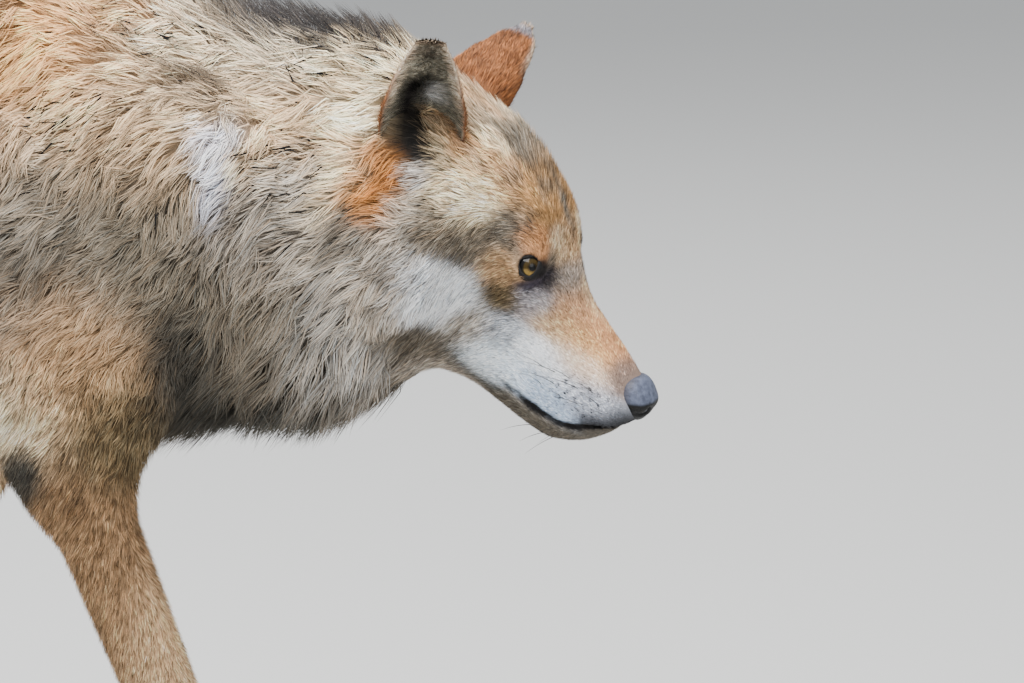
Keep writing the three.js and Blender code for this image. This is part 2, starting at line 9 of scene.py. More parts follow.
import bpy
import numpy as np
from mathutils import Matrix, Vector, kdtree

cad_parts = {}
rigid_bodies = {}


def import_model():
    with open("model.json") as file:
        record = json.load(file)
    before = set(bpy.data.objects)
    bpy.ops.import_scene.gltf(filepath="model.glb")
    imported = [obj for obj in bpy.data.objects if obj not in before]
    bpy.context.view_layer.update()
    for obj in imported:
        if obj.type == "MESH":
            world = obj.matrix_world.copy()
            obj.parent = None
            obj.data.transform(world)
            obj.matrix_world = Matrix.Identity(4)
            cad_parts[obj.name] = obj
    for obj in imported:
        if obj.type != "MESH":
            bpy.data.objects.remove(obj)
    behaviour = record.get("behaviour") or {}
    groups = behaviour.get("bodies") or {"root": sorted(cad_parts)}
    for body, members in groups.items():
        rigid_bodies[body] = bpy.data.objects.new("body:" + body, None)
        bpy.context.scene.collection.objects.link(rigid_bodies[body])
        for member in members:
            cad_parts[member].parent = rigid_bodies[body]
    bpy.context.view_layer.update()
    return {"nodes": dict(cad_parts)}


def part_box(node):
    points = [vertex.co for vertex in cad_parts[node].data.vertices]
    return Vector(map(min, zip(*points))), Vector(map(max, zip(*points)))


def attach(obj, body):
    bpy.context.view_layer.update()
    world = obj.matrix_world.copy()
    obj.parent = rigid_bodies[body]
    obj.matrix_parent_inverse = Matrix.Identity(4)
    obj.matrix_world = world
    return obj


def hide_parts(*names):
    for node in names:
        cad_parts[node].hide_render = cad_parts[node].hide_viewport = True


RNG = np.random.default_rng(41)

HEAD_ORIGIN = np.array([161.2, -4.3, 568.7])
HEAD_TURN = (-4.5, -38.5, 8.0)
EYE_SOLID = (153.0, 38.0, 52.0)
EYE_SEAT = (154.0, 36.8, 50.2)
EYEBALL_RADIUS = 11.25
NOSE = (263.0, 0.0, 13.0)

# along, top, bottom, height of widest point, half width, squareness, narrowing upward, coat depth
TRUNK = [
    [-712, 650, 575, 612, 30, 2.0, 0, 14],
    [-675, 680, 535, 612, 66, 2.0, 0, 16],
    [-610, 703, 515, 612, 92, 2.1, 0, 17],
    [-540, 711, 498, 605, 100, 2.1, 0, 18],
    [-450, 706, 474, 590, 102, 2.1, 0.05, 18],
    [-350, 699, 438, 570, 114, 2.1, 0.1, 18],
    [-250, 700, 411, 555, 125, 2.1, 0.15, 19],
    [-150, 710, 393, 548, 126, 2.1, 0.2, 20],
    [-60, 719, 385, 545, 114, 2.1, 0.25, 20],
    [10, 706, 387, 545, 104, 2.1, 0.25, 20],
    [60, 670, 392, 535, 90, 2.1, 0.2, 20],
    [100, 610, 420, 520, 62, 2.0, 0.1, 18],
]
NECK = [
    [-50, 715, 420, 570, 80, 2.0, 0.2, 20],
    [0, 702, 402, 555, 98, 2.0, 0.2, 20],
    [60, 686, 390, 540, 112, 2.1, 0.15, 22],
    [115, 675, 382, 530, 118, 2.1, 0.1, 24],
    [156, 668, 383, 528, 116, 2.1, 0.08, 24],
    [191, 659, 397, 526, 108, 2.1, 0.05, 22],
    [219, 647, 416, 526, 96, 2.0, 0.05, 20],
    [243, 622, 440, 524, 76, 2.0, 0, 16],
    [258, 590, 468, 522, 52, 2.0, 0, 14],
]
SKULL = [
    [-30, 92, -50, 30, 58, 2.0, 0, 18],
    [0, 104, -68, 28, 74, 2.0, 0, 17],
    [30, 109, -84, 24, 86, 2.0, 0.05, 15],
    [60, 111, -90, 20, 88, 2.1, 0.12, 12],
    [85, 112, -88, 18, 84, 2.1, 0.16, 9],
    [105, 110, -84, 18, 76, 2.1, 0.18, 7],
    [120, 105, -78, 17, 66, 2.1, 0.2, 5.5],
    [135, 96, -70, 14, 56, 2.2, 0.22, 4.2],
    [153, 83, -60, 8, 47, 2.2, 0.3, 3.2],
    [172, 67, -53, 0, 41, 2.3, 0.36, 2.4],
    [194, 49, -51, -6, 37, 2.4, 0.38, 1.9],
    [215, 41, -50, -10, 35, 2.4, 0.38, 1.6],
    [235, 35, -47, -10, 33, 2.4, 0.38, 1.5],
    [252, 29, -36, -8, 28, 2.3, 0.3, 1.3],
    [264, 26, -22, -2, 20, 2.2, 0.2, 1.2],
    [271, 22, -10, 4, 12, 2.0, 0, 1.2],
]
# x, y, z, radius, coat depth
TAIL = [
    [-668, 0, 652, 36, 17],
    [-728, 2, 612, 42, 24],
    [-768, 6, 540, 46, 28],
    [-788, 10, 450, 47, 30],
    [-792, 13, 360, 40, 27],
    [-784, 14, 300, 24, 16],
    [-778, 14, 268, 9, 6],
]
# by side: places of the joints, forward and up, and how far out the elbow stands
FORELEGS = {
    -1: dict(
        top=(-48, 650), shoulder=(75, 564), elbow=(0, 357), out=88, wrist=(81, 152), knuckle=(104, 50),
    ),
    1: dict(
        top=(-66, 650), shoulder=(14, 522), elbow=(-118, 350), out=86, wrist=(-162, 135), knuckle=(-180, 45),
    ),
}
# by side: places of the joints, forward and up
HINDLEGS = {
    -1: dict(hip=(-585, 585), stifle=(-478, 366), hock=(-640, 181), knuckle=(-628, 47)),
    1: dict(hip=(-585, 585), stifle=(-600, 338), hock=(-790, 178), knuckle=(-842, 52)),
}
FORE_TRACK, HIND_TRACK = 85, 70
# sideways from the paw's middle, forward from the knuckle
FORE_TOES = [(-27, 32), (-10, 46), (10, 46), (27, 32)]
HIND_TOES = [(-23, 30), (-9, 43), (9, 43), (23, 30)]
# by side: middle of the base, tip, and the way that the cup faces
EARS = {
    -1: dict(base=(43, -53, 82), tip=(15, -84, 150), face=(0.35, -0.93, 0.1)),
    1: dict(base=(43, 52, 80), tip=(37, 102, 126), face=(0.35, 0.93, 0.1)),
}
# share of the ear's length, half width, depth of the cup
EAR_RINGS = [
    [-0.25, 30, 24], [0, 31, 27], [0.25, 30, 24], [0.5, 25, 18], [0.72, 20, 12], [0.88, 15.5, 8],
    [1.0, 11.5, 5.5],
]
# where the lips meet, from the right corner of the mouth to the middle in front
LIP_LINE = [
    (188, 39, -28), (193, 38, -27), (217, 36, -27), (239, 32, -24), (252, 26, -16),
    (264, 14, -8), (269, 0, -6),
]


# ---------------------------------------------------------------- small helpers
def unit(v):
    """The same directions, each of length one."""
    return v / np.maximum(np.linalg.norm(v, axis=-1, keepdims=True), 1e-9)


def turned(yaw, pitch, roll):
    """Columns are forward, left and up of a frame turned by these degrees."""
    angles = np.radians([yaw, pitch, roll])
    cy, cp, cr = np.cos(angles)
    sy, sp, sr = np.sin(angles)
    about_z = np.array([[cy, -sy, 0], [sy, cy, 0], [0, 0, 1]])
    about_y = np.array([[cp, 0, -sp], [0, 1, 0], [sp, 0, cp]])
    about_x = np.array([[1, 0, 0], [0, cr, -sr], [0, sr, cr]])
    return about_z @ about_y @ about_x


HEAD = turned(*HEAD_TURN)


def head(p):
    """Places on the head brought into the wolf's frame."""
    return HEAD_ORIGIN + np.asarray(p, float) @ HEAD.T


def in_head(points):
    """The same places, told forward, left and up from the head's middle."""
    return (points - HEAD_ORIGIN) @ HEAD


def ramp(x, lo, hi):
    """A smooth step from 0 at lo to 1 at hi."""
    t = np.clip((x - lo) / (hi - lo), 0, 1)
    return t * t * (3 - 2 * t)


def union(a, b, k):
    """The distance to two forms melted together over k."""
    h = np.maximum(k - np.abs(a - b), 0) / k
    return np.minimum(a, b) - h * h * k / 4


def carve(a, b, k):
    """a with b taken away, the edge rounded by k."""
    return -union(-a, b, k)


def smoothed(table, steps=10):
    """The table's rows with steps between them on a smooth curve."""
    rows = np.array(table, float)
    ends = np.vstack([2 * rows[0] - rows[1], rows, 2 * rows[-1] - rows[-2]])
    out = []
    for a, b, c, d in zip(ends, ends[1:], ends[2:], ends[3:]):
        bend = 2 * a - 5 * b + 4 * c - d
        twist = 3 * b - a - 3 * c + d
        for u in np.arange(steps) / steps:
            out.append(0.5 * (2 * b + (c - a) * u + bend * u**2 + twist * u**3))
    out.append(rows[-1])
    return np.array(out)


def mixed(a, b, share):
    """A colour or place moved by a share of the way from a to b."""
    share = np.asarray(share)[:, None]
    return a * (1 - share) + np.asarray(b) * share


def noise(points, scale, seed):
    """Smooth value noise from 0 to 1."""
    q = points / scale + seed * 17.3
    cell = np.floor(q)
    f = q - cell
    f = f * f * (3 - 2 * f)
    total = np.zeros(len(points))
    for dx in (0, 1):
        for dy in (0, 1):
            for dz in (0, 1):
                c = cell + (dx, dy, dz)
                value = np.sin(c @ np.array([127.1, 311.7, 74.7]) + seed) * 43758.5453
                weight = np.abs(1 - dx - f[:, 0]) * np.abs(1 - dy - f[:, 1]) * np.abs(1 - dz - f[:, 2])
                total += (value - np.floor(value)) * weight
    return total


# ---------------------------------------------------------------- forms of the body, at the skin
# Each form gives its distance, its coat's depth and the lie of its hair. It melts into the others over k.
class Limb:
    """A tapering round bar from a to b, flattened sideways."""

    def __init__(self, a, b, ra, rb, flat, k, depth, flow):
        self.a, self.b = np.array(a, float), np.array(b, float)
        self.depths = np.broadcast_to(depth, 2)
        self.ra, self.rb = ra - self.depths[0], rb - self.depths[1]
        self.flat, self.k, self.flow = flat, k, np.array(flow, float)
        reach = max(ra, rb) * max(1, flat)
        self.lo, self.hi = np.minimum(self.a, self.b) - reach, np.maximum(self.a, self.b) + reach

    def share(self, p):
        ab = self.b - self.a
        return np.clip((p - self.a) @ ab / (ab @ ab), 0, 1)

    def at(self, p):
        t = self.share(p)
        q = p - (self.a + t[:, None] * (self.b - self.a))
        q[:, 1] /= self.flat
        return np.linalg.norm(q, axis=1) - (self.ra + t * (self.rb - self.ra))

    def depth_at(self, p):
        return self.depths[0] + self.share(p) * (self.depths[1] - self.depths[0])

    def flow_at(self, p):
        return np.broadcast_to(self.flow, p.shape)


class Blob:
    """An ellipsoid."""

    def __init__(self, centre, radii, k, depth, flow, axes=None):
        self.c, self.r, self.k = np.array(centre, float), np.array(radii, float) - depth, k
        self.axes = np.eye(3) if axes is None else axes
        self.depth, self.flow = depth, np.array(flow, float)
        self.lo, self.hi = self.c - max(radii), self.c + max(radii)

    def at(self, p):
        q = (p - self.c) @ self.axes
        near = np.linalg.norm(q / self.r, axis=1)
        steep = np.linalg.norm(q / self.r**2, axis=1)
        return near * (near - 1) / np.maximum(steep, 1e-9)

    def depth_at(self, p):
        return np.full(len(p), float(self.depth))

    def flow_at(self, p):
        return np.broadcast_to(self.flow, p.shape)


class Barrel:
    """A long form given by stations along its own forward axis."""

    def __init__(self, stations, k, flow, origin=(0, 0, 0), axes=None):
        self.t = smoothed(stations)
        self.k, self.flow = k, flow
        self.o, self.axes = np.array(origin, float), np.eye(3) if axes is None else axes
        corners = np.array([
            (x, y, z)
            for x in (self.t[0, 0], self.t[-1, 0])
            for y in (-self.t[:, 4].max(), self.t[:, 4].max())
            for z in (self.t[:, 2].min(), self.t[:, 1].max())
        ]) @ self.axes.T + self.o
        self.lo, self.hi = corners.min(0) - 5, corners.max(0) + 5

    def at(self, p):
        q = (p - self.o) @ self.axes
        x = np.clip(q[:, 0], self.t[0, 0], self.t[-1, 0])
        columns = [np.interp(x, self.t[:, 0], c) for c in self.t[:, 1:].T]
        top, bottom, wide, half, square, narrow, depth = columns
        top, bottom, half = top - depth, bottom + depth, half - depth
        dz = q[:, 2] - wide
        h = np.where(dz > 0, top - wide, wide - bottom)
        w = half * (1 - narrow * np.clip(dz / h, -0.6, 1))
        rho = ((np.abs(q[:, 1]) / w) ** square + (np.abs(dz) / h) ** square) ** (1 / square)
        return (rho - 1) * np.minimum(half, h) + np.abs(q[:, 0] - x)

    def depth_at(self, p):
        return np.interp(((p - self.o) @ self.axes)[:, 0], self.t[:, 0], self.t[:, 7])

    def flow_at(self, p):
        return self.flow(p)


class Tube:
    """A round bar along a curved path."""

    def __init__(self, path, k):
        self.t, self.k = smoothed(path, 5), k
        reach = self.t[:, 3].max()
        self.lo, self.hi = self.t[:, :3].min(0) - reach, self.t[:, :3].max(0) + reach

    def nearest(self, p):
        best = np.full(len(p), 1e3)
        where = np.zeros(len(p))
        for i, (a, b) in enumerate(zip(self.t, self.t[1:])):
            ab = b[:3] - a[:3]
            t = np.clip((p - a[:3]) @ ab / (ab @ ab), 0, 1)
            skin = (a[3] - a[4]) + t * ((b[3] - b[4]) - (a[3] - a[4]))
            d = np.linalg.norm(p - (a[:3] + t[:, None] * ab), axis=1) - skin
            closer = d < best
            best[closer] = d[closer]
            where[closer] = (i + t)[closer]
        return best, where

    def at(self, p):
        return self.nearest(p)[0]

    def depth_at(self, p):
        return np.interp(self.nearest(p)[1], np.arange(len(self.t)), self.t[:, 4])

    def flow_at(self, p):
        where = self.nearest(p)[1]
        step = np.gradient(self.t[:, :3], axis=0)
        flow = np.stack([np.interp(where, np.arange(len(self.t)), c) for c in step.T], 1)
        return unit(flow) + np.array([-0.2, 0, -0.1])


def trunk_flow(p):
    """Back along the spine, down over the ribs, back again on the belly."""
    side = np.clip(np.abs(p[:, 1]) / 90, 0, 1) * ramp(p[:, 2], 400, 480)
    fall = 0.42 + 0.4 * ramp(p[:, 0], -220, -60)
    return np.stack([-np.ones(len(p)), np.zeros(len(p)), -0.08 - fall * side], 1)


def neck_flow(p):
    """Fanning back from the ears, along the crest above and down into the ruff below."""
    away = (p - (238, 0, 598)) * (1, 0, 1)
    near = 1.6 * np.exp(-np.linalg.norm(away, axis=1) / 170)
    low = 1 - ramp(p[:, 2], 420, 640)
    out = np.sign(p[:, 1]) * 0.12 * low
    return unit(away) * near[:, None] + np.stack([-1 + 0.35 * low, out, -0.1 - 1.25 * low], 1)


def head_flow(p):
    """Away from the nose, out over the brows and down over the cheeks."""
    q = in_head(p)
    side = np.sign(q[:, 1]) * ramp(np.abs(q[:, 1]), 4, 30)
    drop = ramp(np.abs(q[:, 1]), 12, 58) * (1 - ramp(q[:, 0], 150, 205))
    drop = drop * (0.7 + 0.95 * ramp(90 - q[:, 2], 0, 85))
    crown = ramp(q[:, 2], 50, 95) * (1 - ramp(q[:, 0], 120, 190))
    local = np.stack([-np.ones(len(p)), side * (0.15 + 0.2 * crown), 0.1 - drop], 1)
    return local @ HEAD.T


def toe_forms(knuckle, y, rows, drop, radius):
    """Four toes that reach forward and down from the knuckle."""
    forms = []
    for dy, dx in rows:
        a = (knuckle[0] + 8, y + dy * 0.7, 34 - drop)
        b = (knuckle[0] + dx, y + dy, 12 - drop / 3)
        forms.append(Limb(a, b, radius, radius - 2, 0.86, 6, 1.6, (0.8, 0, -0.5)))
    return forms


def foreleg_forms(side, top, shoulder, elbow, out, wrist, knuckle):
    """The forms of one foreleg, from the shoulder to the toes."""
    def at(xz, y):
        return (xz[0], side * y, xz[1])

    point = (elbow[0] - 34, elbow[1] + 16)
    above = (elbow[0] - 62, elbow[1] + 200)
    down = (-0.12, 0, -1)
    return [
        Limb(at(top, 46), at(shoulder, 84), 34, 60, 0.62, 40, (16, 18), (-0.75, 0, -0.62)),
        Limb(at(shoulder, 84), at(elbow, out), 66, 42, 0.62, 30, (16, 6), (-0.5, 0, -0.85)),
        Limb(at(above, 82), at(point, out), 58, 22, 0.6, 30, (16, 6), (-0.4, 0, -0.9)),
        Limb(at(elbow, out), at(wrist, FORE_TRACK), 33, 25, 0.8, 18, (5, 3), down),
        Blob(at(point, out), (18, 14, 18), 12, 3, (-0.3, 0, -1)),
        Blob(at(wrist, FORE_TRACK), (23, 23, 26), 14, 2.6, down),
        Limb(at(wrist, FORE_TRACK), at(knuckle, FORE_TRACK), 21, 22, 1.1, 12, 2.6, down),
        Blob(at((knuckle[0] + 4, 22), FORE_TRACK), (33, 33, 26), 14, 2, (0.7, 0, -0.6)),
    ] + toe_forms(knuckle, side * FORE_TRACK, FORE_TOES, 0, 16)


def hindleg_forms(side, hip, stifle, hock, knuckle):
    """The forms of one hind leg, from the hip to the toes."""
    def at(xz, y):
        return (xz[0], side * y, xz[1])

    ham = (stifle[0] - 75, stifle[1] + 25)
    behind = (stifle[0] - 85, stifle[1] - 10)
    heel = (hock[0] - 14, hock[1] + 14)
    return [
        Limb(at(hip, 62), at(stifle, 76), 98, 48, 0.55, 35, (16, 9), (-0.5, 0, -0.8)),
        Blob(at((-610, 630), 55), (100, 48, 80), 40, 16, (-0.9, 0, -0.4)),
        Limb(at((-648, 585), 50), at(ham, 72), 60, 32, 0.6, 35, (16, 11), (-0.5, 0, -0.9)),
        Limb(at(stifle, 76), at(hock, HIND_TRACK), 44, 20, 0.66, 20, (8, 3.4), (-0.5, 0, -0.85)),
        Limb(at(behind, 72), at(heel, HIND_TRACK), 26, 14, 0.7, 18, (6, 3), (-0.3, 0, -0.9)),
        Blob(at((hock[0] - 8, hock[1] + 6), HIND_TRACK), (22, 18, 24), 14, 2.8, (-0.1, 0, -1)),
        Limb(at(hock, HIND_TRACK), at(knuckle, HIND_TRACK), 20, 20, 0.95, 12, 2.6, (0, 0, -1)),
        Blob(at((knuckle[0] + 6, 20), HIND_TRACK), (30, 29, 24), 14, 2, (0.7, 0, -0.6)),
    ] + toe_forms(knuckle, side * HIND_TRACK, HIND_TOES, 3, 15)


def body_forms():
    """Every form that the skin runs over, apart from the ears and the eyelids."""
    breast = Blob((50, 0, 462), (58, 80, 70), 40, 18, (-0.3, 0, -1))
    forms = [Barrel(TRUNK, 30, trunk_flow), Barrel(NECK, 26, neck_flow), breast]
    for side in (-1, 1):
        forms += foreleg_forms(side, **FORELEGS[side]) + hindleg_forms(side, **HINDLEGS[side])
    forms += [Tube(TAIL, 26), Barrel(SKULL, 22, head_flow, HEAD_ORIGIN, HEAD)]
    brow_axes = turned(HEAD_TURN[0], HEAD_TURN[1] - 30, HEAD_TURN[2])
    for side in (-1, 1):
        brow = Blob(head((142, side * 27, 67)), (23, 15, 13), 20, 3, (0, 0, 0), brow_axes)
        cheek = Blob(head((58, side * 62, -6)), (60, 36, 50), 30, 13, (0, 0, 0), HEAD)
        orbit = Blob(head((152.6, side * 35.4, 50)), (17.2, 17, 16.6), 9, 3, (0, 0, 0), HEAD)
        for form in (brow, cheek, orbit):
            form.flow_at = head_flow
            forms.append(form)
    return forms


FORMS = body_forms()
# the skull, and the brow, cheek and orbit of each side
HEAD_FORMS = FORMS[-7:]


def eye_centre(side):
    """Where the middle of the eyeball sits."""
    return head(np.array(EYE_SEAT) * (1, side, 1))


# the right eye's opening: its own rightward, upward and outward ways, its offset and its radius
EYE_RIGHTWARD = np.array([0.758, 0.328, 0.558])
EYE_UPWARD = np.array([-0.643, 0.255, 0.715])
EYE_OUT = np.array([0.1, -0.914, 0.394])
EYE_SHIFT = np.array([0.3, -0.45, 0.9])
EYE_OPENING = 6.5
# the face's middle, and how far from it the lips, lids and nose reach
FACE_MIDDLE, FACE_REACH = (205, 0, 0), 88
LIP_GROOVE = 1.5
# the plane that cuts the muzzle off behind the nose pad
MUZZLE_END, MUZZLE_WAY = (273.8, 0, 3.2), np.array([0.909, 0, -0.424])
FAR_AWAY = 1e3
LIP_FOLD = []
for sign in (-1, 1):
    path = smoothed([head((x, sign * y, z)) for x, y, z in LIP_LINE], 3)
    LIP_FOLD += list(zip(path, path[1:]))


def from_sight(p, side):
    """Distance from the line that runs out of the eyeball's middle through the opening of the lids."""
    start = eye_centre(side) + HEAD @ (EYE_SHIFT * (1, side, 1))
    out = HEAD @ (unit(EYE_OUT) * (1, -side, 1))
    t = np.maximum((p - start) @ out, 0)
    return np.linalg.norm(p - start - t[:, None] * out, axis=1)


def from_lips(p):
    """Distance from the line where the lips meet."""
    nearest = np.full(len(p), FAR_AWAY)
    for a, b in LIP_FOLD:
        t = np.clip((p - a) @ (b - a) / ((b - a) @ (b - a)), 0, 1)
        nearest = np.minimum(nearest, np.linalg.norm(p - (a + t[:, None] * (b - a)), axis=1))
    return nearest


def boxed(form, p, pad):
    """Indices of the points in the form's box, widened by pad."""
    return np.flatnonzero(((p > form.lo - pad) & (p < form.hi + pad)).all(axis=1))


def surface(p):
    """Distance to the skin, negative inside."""
    d = np.full(len(p), FAR_AWAY)
    for form in FORMS:
        i = boxed(form, p, form.k)
        if len(i):
            d[i] = union(d[i], form.at(p[i]), form.k)
    near = np.flatnonzero(np.abs(in_head(p) - FACE_MIDDLE).max(axis=1) < FACE_REACH)
    if len(near):
        q = p[near]
        d[near] = carve(d[near], from_lips(q) - LIP_GROOVE, 2.5)
        for side in (-1, 1):
            d[near] = carve(d[near], from_sight(q, side) - EYE_OPENING, 1.6)
        front = (in_head(q) - MUZZLE_END) @ MUZZLE_WAY
        d[near] = carve(d[near], -front, 4)
    return d


def slope(p):
    """The skin's outward way at places near it."""
    reach = 0.6
    return unit(np.stack([surface(p + e) - surface(p - e) for e in np.eye(3) * reach], 1))


def lines(lo, *steps):
    """Grid lines from lo on, at each width as far as the place given with it."""
    out = [lo]
    for upto, width in steps:
        n = int(round((upto - out[-1]) / width))
        out += list(out[-1] + width * np.arange(1, n + 1))
    return np.array(out, float)


AT_A_TIME = 400000


def net(func, axes):
    """Quads of the surface where func is zero, on a grid of these lines (naive surface nets)."""
    n = [len(a) for a in axes]
    grid = np.stack(np.meshgrid(*axes, indexing="ij"), -1).reshape(-1, 3)
    pieces = np.array_split(grid, 1 + len(grid) // AT_A_TIME)
    value = np.concatenate([func(piece) for piece in pieces]).reshape(n)
    inside = value < 0
    corners = [(i, j, k) for i in (0, 1) for j in (0, 1) for k in (0, 1)]
    count = sum(inside[i:n[0] - 1 + i, j:n[1] - 1 + j, k:n[2] - 1 + k].astype(int) for i, j, k in corners)
    cut_cells = (count > 0) & (count < 8)
    index = -np.ones(cut_cells.shape, int)
    cells = np.argwhere(cut_cells)
    index[cut_cells] = np.arange(len(cells))
    total = np.zeros((len(cells), 3))
    hits = np.zeros(len(cells))
    for a in corners:
        for way in range(3):
            if a[way]:
                continue
            b = list(a)
            b[way] = 1
            ca, cb = cells + a, cells + b
            va, vb = value[tuple(ca.T)], value[tuple(cb.T)]
            cross = (va < 0) != (vb < 0)
            t = np.where(cross, va / np.where(cross, va - vb, 1), 0)[:, None]
            pa = np.stack([axes[m][ca[:, m]] for m in range(3)], 1)
            pb = np.stack([axes[m][cb[:, m]] for m in range(3)], 1)
            total[cross] += (pa + t * (pb - pa))[cross]
            hits[cross] += 1
    points = total / hits[:, None]
    quads = []
    for way in range(3):
        e, f = (way + 1) % 3, (way + 2) % 3
        cut = np.argwhere(inside != np.roll(inside, -1, axis=way))
        keep = (cut[:, way] < n[way] - 1) & (cut[:, e] > 0) & (cut[:, f] > 0)
        cut = cut[keep & (cut[:, e] < n[e] - 1) & (cut[:, f] < n[f] - 1)]
        de, df = np.eye(3, dtype=int)[e], np.eye(3, dtype=int)[f]
        ring = np.stack([index[tuple((cut - s).T)] for s in (de + df, df, np.zeros(3, int), de)], 1)
        out = inside[tuple(cut.T)]
        quads.append(np.where(out[:, None], ring, ring[:, ::-1]))
    return points, np.vstack(quads)


# ---------------------------------------------------------------- the skin's parts
def split(points, quads):
    """Triangles, each quad cut along its shorter diagonal."""
    a, b, c, d = [points[quads[:, i]] for i in range(4)]
    first = (np.linalg.norm(a - c, axis=1) <= np.linalg.norm(b - d, axis=1))[:, None, None]
    one = quads[:, [[0, 1, 2], [0, 2, 3]]]
    two = quads[:, [[0, 1, 3], [1, 2, 3]]]
    return np.where(first, one, two).reshape(-1, 3)


def grid_faces(rows, columns):
    """Quads between rings of points that are stored ring after ring."""
    i, j = np.meshgrid(np.arange(rows - 1), np.arange(columns), indexing="ij")
    i, j = i.ravel(), j.ravel()
    k = (j + 1) % columns
    return np.stack([i * columns + j, i * columns + k, (i + 1) * columns + k, (i + 1) * columns + j], 1)


def normals_of(points, tris):
    """The way that the skin faces at each point."""
    face = np.cross(points[tris[:, 1]] - points[tris[:, 0]], points[tris[:, 2]] - points[tris[:, 0]])
    out = np.zeros_like(points)
    for i in range(3):
        for axis in range(3):
            out[:, axis] += np.bincount(tris[:, i], face[:, axis], len(points))
    return unit(out)


def outward(points, tris):
    """The triangles of a closed form, turned round if they face its inside."""
    a, b, c = [points[tris[:, i]] for i in range(3)]
    return tris if (np.cross(a, b) * c).sum() >= 0 else tris[:, ::-1]


# how far the coat's depth and its lie blend from one form into the next
DEPTH_BLEND, FLOW_BLEND, BLEND_REACH = 6, 14, 60


def lay_of_coat(points):
    """Coat depth, flow of the hair and share of the head at points of the skin."""
    weight = np.zeros(len(points))
    depth = np.zeros(len(points))
    heads = np.zeros(len(points))
    flow = np.zeros_like(points)
    for form in FORMS:
        i = boxed(form, points, BLEND_REACH)
        if len(i) == 0:
            continue
        p = points[i]
        far = np.clip(form.at(p), -20, 80)
        w = np.exp(-far / DEPTH_BLEND)
        weight[i] += w
        depth[i] += w * form.depth_at(p)
        flow[i] += np.exp(-far / FLOW_BLEND)[:, None] * unit(form.flow_at(p) + 1e-9)
        if form in HEAD_FORMS:
            heads[i] += w
    weight = np.maximum(weight, 1e-12)
    return depth / weight, unit(flow), heads / weight


# grid lines: finest on the head, fine on the legs and paws, coarse along the trunk
SKIN_X = lines(
    -895, (-870, 12), (-785, 5), (-655, 10), (-595, 6), (-570, 5), (-200, 10), (-140, 6), (90, 10),
    (165, 5), (200, 8), (285, 4), (405, 2),
)
SKIN_Y = lines(-140, (-72, 4.5), (30, 2.2), (140, 4.8))
SKIN_Z = lines(-9, (75, 3.6), (372, 6.5), (545, 2.1), (760, 5.2))
SKIN_PASSES, LARGEST_MOVE = 2, 3
# the soles stand just off the floor, and below SOLE_HEIGHT they are bare
SOLE_CLEARANCE = 0.4
SOLE_HEIGHT = 3


def body_skin():
    """The body's surface on the grid, then drawn onto its true place."""
    every = 1
    points, quads = net(surface, [SKIN_X[::every], SKIN_Y[::every], SKIN_Z[::every]])
    for _ in range(SKIN_PASSES):
        points = points - np.clip(surface(points), -LARGEST_MOVE, LARGEST_MOVE)[:, None] * slope(points)
    points[:, 2] = np.maximum(points[:, 2], SOLE_CLEARANCE)
    return points, split(points, quads)


def ear_frame(side):
    """The ear's base, its length, and columns across, up and out of its cup."""
    base, tip = head(EARS[side]["base"]), head(EARS[side]["tip"])
    length = np.linalg.norm(tip - base)
    up = (tip - base) / length
    face = HEAD @ np.array(EARS[side]["face"])
    out = unit(face - up * (face @ up))
    return base, length, np.stack([np.cross(up, out), up, out], 1)


# the ear's skin lies this far inside its half width and the depth of its cup
EAR_COAT_WIDE, EAR_COAT_DEEP = 1.6, 2.2
EAR_HALF_TURN = 94
EAR_COLUMNS = 29
EAR_SHARES = np.concatenate([np.linspace(-0.22, 0.9, 34), [0.94, 0.97, 0.99]])
LEFT_TIP_NARROWING = 0.5


def ear_ring(side, share, length, angle):
    """One ring of the ear: its outer curve, then its inner curve back."""
    rings = np.array(EAR_RINGS)
    half, cup = [np.interp(share, rings[:, 0], rings[:, i]) for i in (1, 2)]
    half, cup = half - EAR_COAT_WIDE, cup - EAR_COAT_DEEP
    half = half * (1 - LEFT_TIP_NARROWING * ramp(share, 0.8, 1.0) * (side > 0))
    filled = 1 - 0.6 * ramp(share, 0.3, 0.6)
    wave = 0.4 * (1.5 * np.sin(share * 9 + side) + 1.2 * np.sin(share * 23))
    wall = 3.4 - 1.4 * max(share, 0)
    ring = []
    for inner, turn in ((0, angle), (wall, angle[::-1])):
        rim = 1 - np.clip((np.abs(turn) - 1.3) / 0.4, 0, 1) * 0.35
        across = half - inner * rim
        deep = max(cup - inner, 1) * (filled if inner else 1)
        height = np.full(len(turn), share * length)
        ring.append(np.stack([across * np.sin(turn), height, wave - deep * np.cos(turn)], 1))
    return ring


def ear_shell(side):
    """A cupped ear, thin at its rim: points, triangles, which are inside, share of length, and angle."""
    base, length, axes = ear_frame(side)
    angle = np.radians(np.linspace(-EAR_HALF_TURN, EAR_HALF_TURN, EAR_COLUMNS))
    points = []
    for share in EAR_SHARES:
        points += ear_ring(side, share, length, angle)
    world = base + np.concatenate(points) @ axes.T
    ring = 2 * EAR_COLUMNS
    tris = split(world, grid_faces(len(EAR_SHARES), ring))
    ends = []
    for row in (0, len(EAR_SHARES) - 1):
        start = row * ring
        for j in range(EAR_COLUMNS - 1):
            strip = (start + j, start + j + 1, start + ring - 2 - j, start + ring - 1 - j)
            strip = strip[::-1] if row else strip
            ends += [strip[:3], (strip[0], strip[2], strip[3])]
    tris = outward(world, np.vstack([tris, ends]))
    inner = np.tile(np.arange(ring) >= EAR_COLUMNS, len(EAR_SHARES))
    turn = np.tile(np.concatenate([angle, angle[::-1]]), len(EAR_SHARES))
    return world, tris, inner, np.repeat(EAR_SHARES, ring), turn


